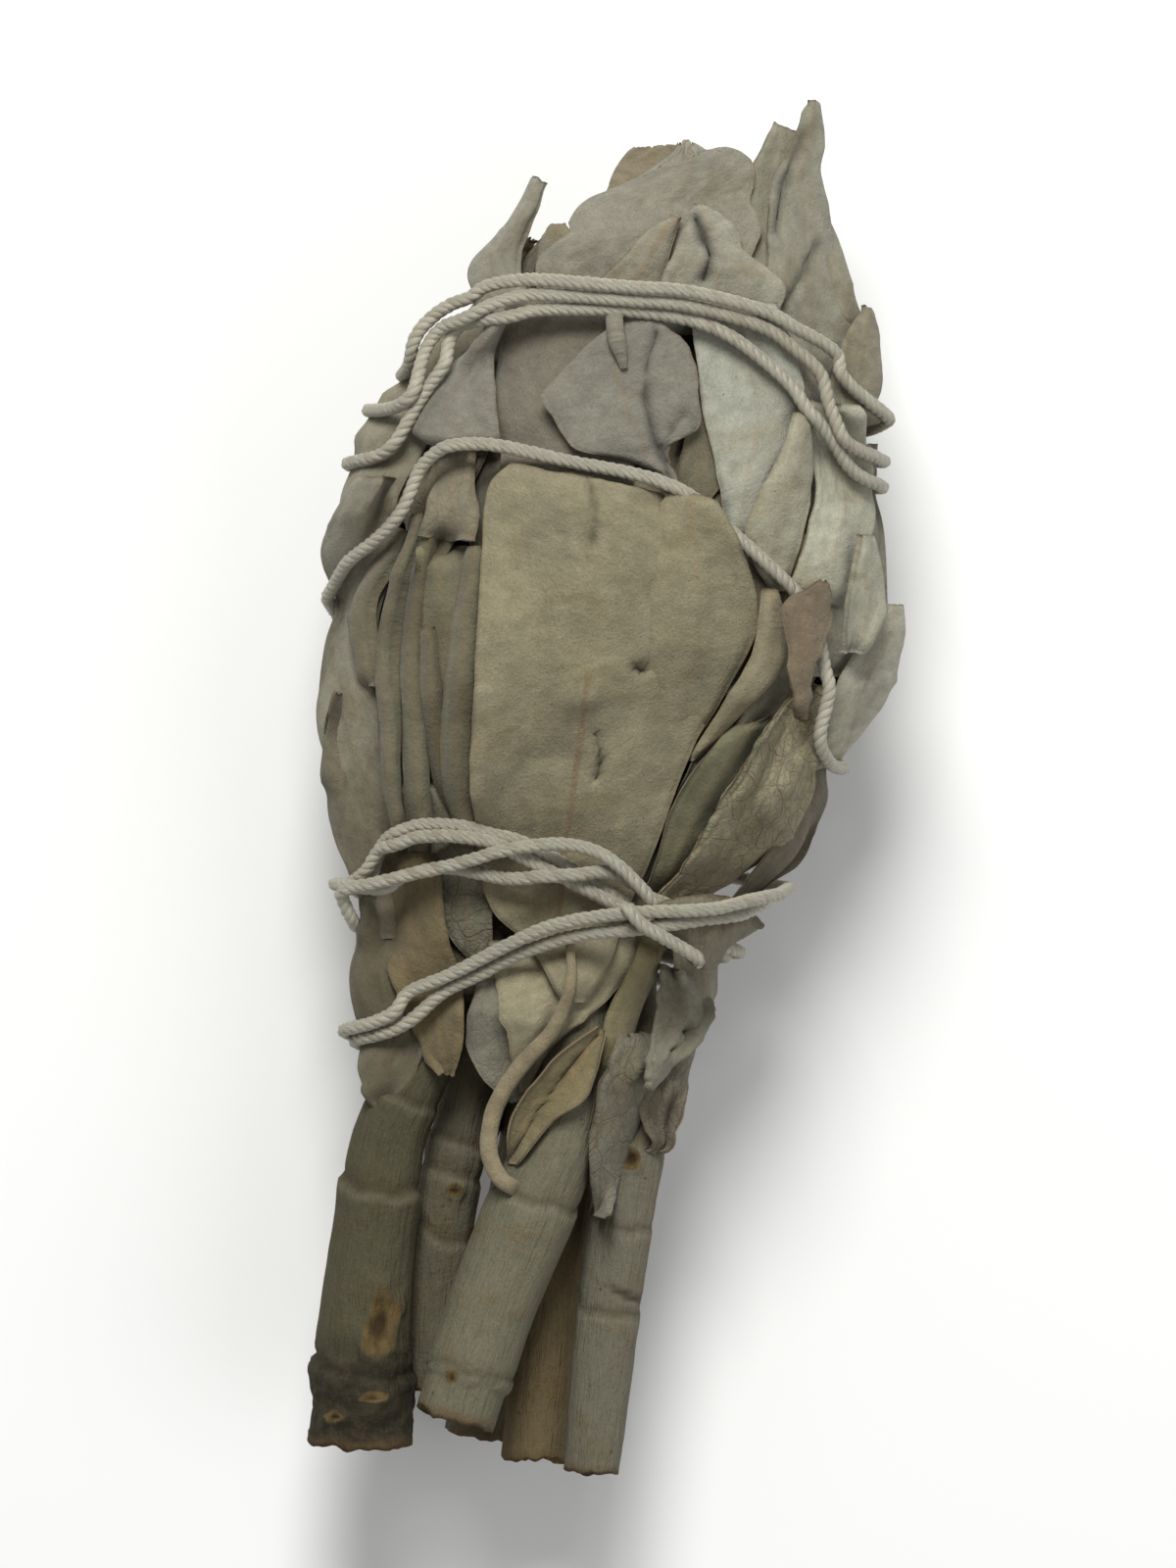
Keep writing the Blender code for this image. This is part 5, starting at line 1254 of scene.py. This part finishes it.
class Nodes:
    """A material and short ways to add to its node tree."""

    def __init__(self, name):
        self.made = bpy.data.materials.new(name)
        self.made.use_nodes = True
        self.tree = self.made.node_tree
        self.shader = self.tree.nodes["Principled BSDF"]

    def link(self, value, socket):
        if isinstance(value, bpy.types.NodeSocket):
            self.tree.links.new(value, socket)
        elif value is not None:
            socket.default_value = value

    def new(self, kind, values, **settings):
        """A node with these settings, and with these values or links at its inputs."""
        node = self.tree.nodes.new("ShaderNode" + kind)
        for key, value in settings.items():
            setattr(node, key, value)
        for key, value in values.items():
            self.link(value, node.inputs[key])
        return node

    def attribute(self, name, colour=False):
        return self.new("Attribute", {}, attribute_name=name).outputs["Color" if colour else "Fac"]

    def place(self, scale=(1, 1, 1)):
        uv = self.new("UVMap", {}, uv_map="place").outputs[0]
        return self.new("Mapping", {"Vector": uv, "Scale": scale}).outputs[0]

    def noise(self, vector, scale, detail=2.0, rough=0.5, warp=0.0):
        values = {"Vector": vector, "Scale": scale, "Detail": detail, "Roughness": rough, "Distortion": warp}
        return self.new("TexNoise", values).outputs["Fac"]

    def cells(self, vector, scale, feature="DISTANCE_TO_EDGE"):
        return self.new("TexVoronoi", {"Vector": vector, "Scale": scale}, feature=feature).outputs["Distance"]

    def math(self, operation, a, b=None, c=None):
        return self.new("Math", {0: a, 1: b, 2: c}, operation=operation).outputs[0]

    def between(self, value, low, high, out_low=0.0, out_high=1.0, smooth=True):
        values = {"Value": value, "From Min": low, "From Max": high, "To Min": out_low, "To Max": out_high}
        kind = "SMOOTHSTEP" if smooth else "LINEAR"
        return self.new("MapRange", values, interpolation_type=kind).outputs["Result"]

    def mixed(self, share, a, b, blend="MIX"):
        a, b = ((*v, 1) if isinstance(v, tuple) else v for v in (a, b))
        return self.new("Mix", {0: share, 6: a, 7: b}, data_type="RGBA", blend_type=blend).outputs[2]

    def scaled(self, colour, value):
        """The colour times a number."""
        return self.new("VectorMath", {0: colour, "Scale": value}, operation="SCALE").outputs[0]

    def shaded(self, colour, *shades):
        """The colour times several numbers."""
        total = shades[0]
        for shade in shades[1:]:
            total = self.math("MULTIPLY", total, shade)
        return self.scaled(colour, total)

    def bumped(self, height, distance, normal=None):
        values = {"Height": height, "Distance": distance, "Strength": 1.0, "Normal": normal}
        return self.new("Bump", values).outputs[0]

    def done(self, colour, normal, roughness, gloss=0.5, sheen=0.0):
        """The material, with its colour, normals and plain values set."""
        values = {
            "Base Color": colour, "Normal": normal, "Roughness": roughness, "Specular IOR Level": gloss,
            "Sheen Weight": sheen,
        }
        for key, value in values.items():
            self.link(value, self.shader.inputs[key])
        return self.made


def leaf_material():
    """Felted grey leaf: mottled, specked, with brown ribs and veins and thin brown edges, and painted shade
    along its narrow creases.
    """
    n = Nodes("felted_sage")
    place = n.place()
    patches = n.noise(place, 1.5, 3, 0.6, 0.4)
    clouds = n.noise(place, 6.0, 4, 0.65)
    felt = n.noise(place, 42.0, 3, 0.7)
    hairs = n.noise(n.place((1, 0.28, 1)), 95.0, 2, 0.6)
    net = n.attribute("net")
    rib = n.attribute("rib")
    edge = n.attribute("edge")
    colour = n.attribute("tint", True)
    brown = n.scaled(colour, 0.72)
    brown = n.mixed(1.0, brown, (1.06, 0.97, 0.80), "MULTIPLY")
    colour = n.mixed(n.between(patches, 0.5, 0.7, 0, 0.62), colour, brown)
    pale = n.scaled(colour, 1.19)
    colour = n.mixed(n.between(patches, 0.46, 0.26, 0, 0.55), colour, pale)
    wander = n.noise(place, 9.0, 2, 0.5)
    moved = {0: wander.node.outputs["Color"], 1: (0.06, 0.06, 0.06), 2: place}
    bent = n.new("VectorMath", moved, operation="MULTIPLY_ADD").outputs[0]
    wide_net = n.between(n.cells(bent, 3.0), 0.0, 0.04, 1, 0)
    fine_net = n.between(n.cells(bent, 9.5), 0.0, 0.09, 1, 0)
    veins = n.math("MAXIMUM", wide_net, n.math("MULTIPLY", fine_net, 0.6))
    vein_share = n.math("MULTIPLY", veins, n.math("MULTIPLY_ADD", net, 0.48, 0.03))
    colour = n.mixed(vein_share, colour, n.mixed(1.0, colour, (0.52, 0.42, 0.30), "MULTIPLY"))
    rib_line = n.between(n.math("MULTIPLY_ADD", wander, 0.25, rib), 0.22, 0.52, 1, 0)
    rib_share = n.math("MULTIPLY", rib_line, n.attribute("brown_rib"))
    colour = n.mixed(n.math("MULTIPLY", rib_share, 0.75), colour, linear((122, 98, 68)))
    colour = n.shaded(
        colour,
        n.between(clouds, 0.25, 0.75, 0.73, 1.21, False),
        n.between(felt, 0.25, 0.75, 0.80, 1.16, False),
        n.between(hairs, 0.2, 0.8, 0.92, 1.07, False),
        # painted shade: darker along the narrow creases
        n.math("MULTIPLY_ADD", n.attribute("fold"), -0.72, 1.0),
    )
    speck = n.between(n.cells(place, 11.0, "F1"), 0.05, 0.11, 1, 0)
    speck = n.math("MULTIPLY", speck, n.between(n.noise(place, 5.0, 2), 0.54, 0.62, 0, 0.75))
    colour = n.mixed(speck, colour, linear((84, 68, 48)))
    rim = n.between(n.math("MULTIPLY_ADD", clouds, 0.5, edge), 0.18, 0.55, 1, 0)
    colour = n.mixed(n.math("MULTIPLY", rim, 0.5), colour, linear((104, 86, 60)))
    n.shader.inputs["Sheen Roughness"].default_value = 0.6
    normal = n.bumped(n.noise(place, 2.2, 2, 0.5, 0.4), 0.0004)
    normal = n.bumped(n.math("MULTIPLY", veins, n.math("MULTIPLY_ADD", net, -0.5, -0.03)), 0.00012, normal)
    normal = n.bumped(clouds, 0.00012, normal)
    normal = n.bumped(n.math("ADD", felt, hairs), 0.00008, normal)
    return n.done(colour, normal, 0.92, 0.18, 0.12)


def stem_material():
    """Ridged grey bark, whitish rings, brown scars and broken ends, with painted shade in the grooves beside
    the rings and in the bark's splits.
    """
    n = Nodes("grey_bark")
    along = n.place((1, 0.09, 1))
    place = n.place()
    streaks = n.noise(along, 16.0, 4, 0.65)
    fibres = n.noise(along, 60.0, 3, 0.7)
    clouds = n.noise(place, 2.2, 4, 0.65, 0.4)
    grain = n.noise(place, 46.0, 3, 0.7)
    ring, scar, rough, groove_shade, cut = (n.attribute(k) for k in ("ring", "scar", "rough", "dark", "cut"))
    from_end = n.attribute("from_end")
    colour = n.attribute("tint", True)
    tan = n.mixed(1.0, colour, (0.92, 0.76, 0.52), "MULTIPLY")
    colour = n.mixed(n.between(clouds, 0.5, 0.72, 0, 0.6), colour, tan)
    colour = n.mixed(n.between(streaks, 0.55, 0.8, 0, 0.55), colour, n.scaled(colour, 0.62))
    colour = n.mixed(n.between(streaks, 0.42, 0.22, 0, 0.5), colour, n.scaled(colour, 1.25))
    fine = n.between(fibres, 0.25, 0.75, 0.84, 1.14, False)
    colour = n.shaded(colour, fine, n.between(grain, 0.25, 0.75, 0.86, 1.12, False))
    colour = n.mixed(n.math("MULTIPLY", ring, 0.2), colour, linear((140, 135, 117)))
    # Painted shade: dark brown in the ring grooves and the bark's splits
    colour = n.mixed(n.math("MULTIPLY", groove_shade, 0.55), colour, linear((62, 54, 38)))
    patchy = n.between(n.noise(place, 9.0, 4, 0.7), 0.4, 0.6)
    dark = n.mixed(patchy, linear((24, 20, 13)), linear((52, 46, 33)))
    colour = n.mixed(n.math("MULTIPLY", rough, 0.8), colour, dark)
    rusty = n.mixed(n.between(scar, 0.5, 0.95), linear((92, 77, 48)), linear((56, 44, 25)))
    rusty = n.scaled(rusty, n.between(n.noise(n.place((1, 0.35, 1)), 16.0, 3), 0.3, 0.7, 0.7, 1.25))
    colour = n.mixed(n.between(scar, 0.1, 0.4), colour, rusty)
    speck = n.between(n.cells(place, 7.0, "F1"), 0.06, 0.14, 1, 0)
    speck = n.math("MULTIPLY", speck, n.between(n.noise(place, 3.0, 2), 0.5, 0.6, 0, 0.6))
    colour = n.mixed(speck, colour, linear((66, 52, 34)))
    ragged = n.between(n.math("MULTIPLY_ADD", clouds, 2.2, from_end), 1.0, 2.2, 0.8, 0)
    colour = n.mixed(ragged, colour, linear((92, 74, 48)))
    mottle = n.between(n.noise(place, 20.0, 4, 0.7), 0.35, 0.65)
    wood = n.mixed(mottle, linear((70, 50, 28)), linear((138, 112, 74)))
    colour = n.mixed(cut, colour, wood)
    normal = None
    for height, distance in ((streaks, 0.00035), (clouds, 0.0004), (fibres, 0.00012), (grain, 0.00008)):
        normal = n.bumped(height, distance, normal)
    return n.done(colour, normal, 0.9, 0.2)


def cotton_material():
    """White cotton: fine fibres along each strand, and greyer stretches."""
    n = Nodes("cotton_string")
    along = n.place((1, 0.12, 1))
    fibres = n.noise(along, 90.0, 3, 0.7)
    clouds = n.noise(n.place(), 2.0, 3, 0.6)
    dirt = n.noise(n.place(), 0.5, 2, 0.5)
    colour = n.mixed(n.between(dirt, 0.5, 0.7, 0, 0.6), linear((167, 162, 144)), linear((136, 128, 104)))
    fine = n.between(fibres, 0.25, 0.75, 0.8, 1.1, False)
    colour = n.shaded(colour, fine, n.between(clouds, 0.3, 0.7, 0.92, 1.04))
    return n.done(colour, n.bumped(fibres, 0.0001), 0.5, 0.5, 0.15)


def dark_material():
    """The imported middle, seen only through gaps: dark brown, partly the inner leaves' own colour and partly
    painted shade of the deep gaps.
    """
    n = Nodes("packed_middle")
    grain = n.noise(n.place(), 12.0, 4, 0.7)
    # Near-black to dark brown grain: partly the inner leaves' colour, partly painted shade of the deep gaps
    return n.done(n.mixed(grain, linear((30, 26, 17)), linear((78, 70, 50))), n.bumped(grain, 0.0006), 1.0)


def floor_material():
    return Nodes("pale_floor").done((0.86, 0.86, 0.85, 1), None, 0.7, 0.1)


def coloured(blade_mesh, look):
    """A blade's mesh data with its colour, veins and rib."""
    verts, faces, data, uv = blade_mesh
    count = len(verts)
    data["tint"] = np.tile(linear(look["tint"]), (count, 1))
    data["net"] = np.full(count, look.get("net", 0.0))
    data["brown_rib"] = np.full(count, look.get("brown_rib", 0.25))
    return verts, faces, data, uv


def core_mesh():
    """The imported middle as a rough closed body."""
    ys = np.arange(CORE_LOW, CORE_HIGH, 0.8)
    angle, y = np.meshgrid(np.arange(CORE_AROUND) * 2 * math.pi / CORE_AROUND, ys)
    lift = BASE_LIFT + 0.5 * noise(np.cos(angle) * 12, y + np.sin(angle) * 12, 2.5, 4, 3)
    rings = on_body(angle, y, lift)
    first, last = rings[0].mean(axis=0), rings[-1].mean(axis=0)
    heads = [last + (rings[-1] - last) * s + (0, 2.5 * (1 - s), 0) for s in (0.8, 0.5, 0.2, 0.02)]
    feet = [first + (rings[0] - first) * s + (0, -2.5 * (1 - s), 0) for s in (0.02, 0.2, 0.5, 0.8)]
    rings = np.concatenate([np.array(feet), rings, np.array(heads)])
    verts, faces = grid_tube(np.zeros((len(rings), 3)), rings)
    around, along = np.meshgrid(np.arange(CORE_AROUND) * 0.06, np.arange(len(rings)) * 0.08)
    return verts, faces, {}, np.stack([around.ravel(), along.ravel()], 1)


def cover_core(height):
    """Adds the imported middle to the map."""
    y = height.places()[1]
    over = (y > CORE_LOW - 1) & (y < 44)
    height.lifts = np.where(over, np.maximum(height.lifts, BASE_LIFT + 0.3), height.lifts)


def inner_blades(height):
    """Leaves packed round the middle by rule, of which only bits show in the gaps."""
    rng = random.Random(11)
    made = []
    for i in range(INNER_LEAVES):
        angle = (i * 137.5) % 360 + rng.uniform(-6, 6)
        y = rng.uniform(-17, 24)
        tip = min(y + rng.uniform(18, 30), 43)
        left, right = lance(angle, y, angle + rng.uniform(-12, 12), tip, rng.uniform(5, 10))
        blade = Blade(left, right, 100 + i, bow=rng.uniform(0.1, 0.5), crumple=0.3, ragged=0.2, hem=0.05)
        blade.lay(height)
        tone = rng.uniform(0.72, 0.95)
        made.append((blade, dict(tint=tuple(c * tone for c in (128, 122, 99)), net=rng.choice((0, 0.2, 0.6)))))
    return made


def strand_along(height, places, radius, sink):
    """Middle line of a thin round thing that lies on the map."""
    scale = np.array([ARC, 1.0])
    scaled = np.array([placed(height, *p) for p in places]) * scale
    length = spline(scaled, 2)[1]
    line = spline(scaled, round(length / 0.4))[0] / scale
    angle, y = line[:, :1], line[:, 1:]
    needed = height.at(angle, y) + radius - sink
    return angle, y, draped(angle, y, needed, 200)


def petiole_mesh(height, places, tint):
    """A leaf's round stalk, from its foot up on to the blade, where it runs out as the rib."""
    angle, y, lift = strand_along(height, places, PETIOLE_RADIUS, 0.15)
    centres = on_body(angle, y, lift)[:, 0]
    outer = on_body(angle, y, lift + 1)[:, 0] - centres
    _, out, side = frames(centres, outer)
    share = np.linspace(0, 1, len(centres))
    radius = PETIOLE_RADIUS * (1 - 0.55 * np.clip((share - 0.55) / 0.45, 0, 1))
    radius = radius * (0.9 + 0.1 * np.clip(share * 8, 0, 1))
    sink = np.clip((share - 0.6) / 0.4, 0, 1) * 0.45 + 1.5 * np.clip(1 - share / 0.09, 0, 1) ** 2
    centres = centres - outer * sink[:, None]
    turn, along = np.meshgrid(np.arange(PETIOLE_SIDES) * 2 * math.pi / PETIOLE_SIDES - math.pi, share)
    wave = 1 + 0.06 * noise(along * 40, turn, 2.0, 8, 2)
    offsets = (radius[:, None] * wave)[..., None] * round_about(turn, 0.85 * out, side)
    verts, faces = grid_tube(centres, offsets)
    uv = np.stack([turn.ravel() * 0.5, along.ravel() * 24], 1) * 0.1
    data = {"net": 0.0, "brown_rib": 0.0, "fold": 0.0, "rib": 9.0, "edge": 9.0}
    data = {k: np.full(len(verts), v) for k, v in data.items()}
    data["tint"] = np.tile(linear(tint), (len(verts), 1))
    height.add(angle, y, lift + radius[:, None])
    return verts, faces, data, uv


def tail_mesh(height):
    """The string's short loose end."""
    angle, y, lift = strand_along(height, STRING_TAIL, TWINE_RADIUS, BITE)
    return string_mesh(angle, y, lift)


def make_light(name, place, aim, size, power, colour=(1, 1, 1)):
    data = bpy.data.lights.new(name, "AREA")
    data.shape = "DISK"
    data.size = size
    data.energy = power
    data.color = colour
    light = bpy.data.objects.new(name, data)
    light.location = place
    light.rotation_euler = (Vector(aim) - Vector(place)).to_track_quat("-Z", "Y").to_euler()
    bpy.context.scene.collection.objects.link(light)


def make_stage():
    mesh = bpy.data.meshes.new("floor")
    mesh.from_pydata([(-3, -3, 0), (3, -3, 0), (3, 3, 0), (-3, 3, 0)], [], [(0, 1, 2, 3)])
    mesh.materials.append(floor_material())
    floor = bpy.data.objects.new("floor", mesh)
    bpy.context.scene.collection.objects.link(floor)
    make_light("key", (-0.12, 0.42, 0.55), (0, 0.03, 0.02), 0.30, KEY_POWER, (1, 1, 0.985))
    make_light("fill", (0.45, -0.1, 0.5), (0, 0, 0.02), 0.5, FILL_POWER, (0.97, 0.985, 1))
    world = bpy.data.worlds.new("soft")
    world.use_nodes = True
    world.node_tree.nodes["Background"].inputs["Color"].default_value = (1, 1, 1, 1)
    world.node_tree.nodes["Background"].inputs["Strength"].default_value = WORLD_LIGHT
    bpy.context.scene.world = world
    bpy.context.scene.view_settings.view_transform = "Standard"


def make_camera():
    data = bpy.data.cameras.new("camera")
    data.sensor_fit = "VERTICAL"
    data.sensor_width, data.sensor_height = SENSOR
    data.lens = LENS
    data.clip_start = 0.01
    data.clip_end = 10
    camera = bpy.data.objects.new("camera", data)
    away = FRAME_TALL / SENSOR[1] * LENS + VIEW_HEIGHT
    camera.location = (SHIFT[0] * MM, SHIFT[1] * MM, away * MM)
    camera.rotation_euler = (0, 0, LEAN)
    bpy.context.scene.collection.objects.link(camera)
    bpy.context.scene.camera = camera


def find_shift():
    """How far the solids' front stem is from the one built here: its box's middle in x and y, and its top."""
    centres, radius, _ = stem_line("stem_front")
    low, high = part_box("stem_front")
    x = (low[0] + high[0]) / 2 / MM - (min(centres[:, 0] - radius) + max(centres[:, 0] + radius)) / 2
    y = (low[1] + high[1]) / 2 / MM - (min(centres[:, 1]) + max(centres[:, 1])) / 2
    z = high[2] / MM - max(centres[:, 2] + radius)
    return x, y, z


def build_leaves(height):
    """Lays every leaf in order. Returns the blades laid before the string, by the node that each stands for."""
    packed, made = inner_blades(height), []
    for seed, (name, leaf) in enumerate(LEAVES.items()):
        if leaf.get("inner"):
            blade = Blade(leaf["left"], leaf["right"], 200 + seed, view=True, bow=0.4, ragged=0.25)
            blade.lay(height)
            packed.append((blade, dict(tint=(130, 125, 104))))
    for seed, (name, place) in enumerate(BACK_LEAVES.items()):
        blade = Blade(*lance(*place), 300 + seed, bow=0.2, crumple=0.35, ragged=0.2)
        blade.lay(height)
        darker = 4 * (seed % 3)
        made.append((name, blade, dict(tint=(132 - darker, 127 - darker, 106), net=0.3 * (seed % 2))))
    for seed, (name, leaf) in enumerate(LEAVES.items()):
        if leaf.get("inner"):
            continue
        made.append((name, lay_named(height, leaf, 400 + seed), leaf))
    return packed, made


def lay_named(height, leaf, seed):
    """One leaf of the lists above, laid on the map."""
    form = {k: v for k, v in leaf.items() if k not in ("left", "right")}
    blade = Blade(leaf["left"], leaf["right"], seed, view=True, **form)
    blade.lay(height)
    return blade


def build():
    """Lays the whole bunch in order, and makes a piece for each node of the solids."""
    leaf_look, stem_look, cotton, dark = leaf_material(), stem_material(), cotton_material(), dark_material()
    height = HeightMap()
    stems = {name: build_stem(name, 1 + i) for i, name in enumerate(STEMS)}
    stems_in_map(height, list(stems.values()))
    for name, mesh in stems.items():
        make_piece("bark_" + name, mesh, stem_look, name)
    cover_core(height)
    packed, made = build_leaves(height)
    stalks = {name: petiole_mesh(height, *stalk) for name, stalk in STALKS.items()}
    angle, y, stops = string_path(height)
    pinch = pinch_map(height, angle, y)
    height.lifts = height.lifts - pinch.lifts
    lifts = np.full(angle.shape, EMPTY)
    over = []
    start = 0
    for turn, stop in enumerate(stops):
        for seed, (name, leaf) in enumerate(OVER_TWINE.items()):
            if leaf["passes"] == turn:
                over.append((name, lay_named(height, leaf, 500 + seed), leaf))
        wind(height, angle, y, lifts, start, stop)
        start = stop
    string = joined([string_mesh(angle, y, lifts), tail_mesh(height)])
    make_piece("string", string, cotton, "twine")
    make_piece("packed_middle", core_mesh(), dark)
    inner = joined([coloured(b.mesh(pinch), look) for b, look in packed])
    make_piece("packed_leaves", inner, leaf_look, "inner_leaves")
    for name, blade, look in made + over:
        mesh = coloured(blade.mesh(pinch if name not in OVER_TWINE else None), look)
        if name in stalks:
            mesh = joined([mesh, stalks[name]])
        make_piece("felt_" + name, mesh, leaf_look, name)


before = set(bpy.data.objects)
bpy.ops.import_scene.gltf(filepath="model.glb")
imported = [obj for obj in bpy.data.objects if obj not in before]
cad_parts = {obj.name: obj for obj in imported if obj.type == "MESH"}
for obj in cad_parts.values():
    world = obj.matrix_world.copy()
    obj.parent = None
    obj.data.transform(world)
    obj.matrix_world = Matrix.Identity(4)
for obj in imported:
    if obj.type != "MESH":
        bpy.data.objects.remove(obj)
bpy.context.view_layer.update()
# The bunch is laid about its own middle line, and its pieces are moved by this many mm to where the solids lie
SHIFT = find_shift()
make_camera()
make_stage()
build()
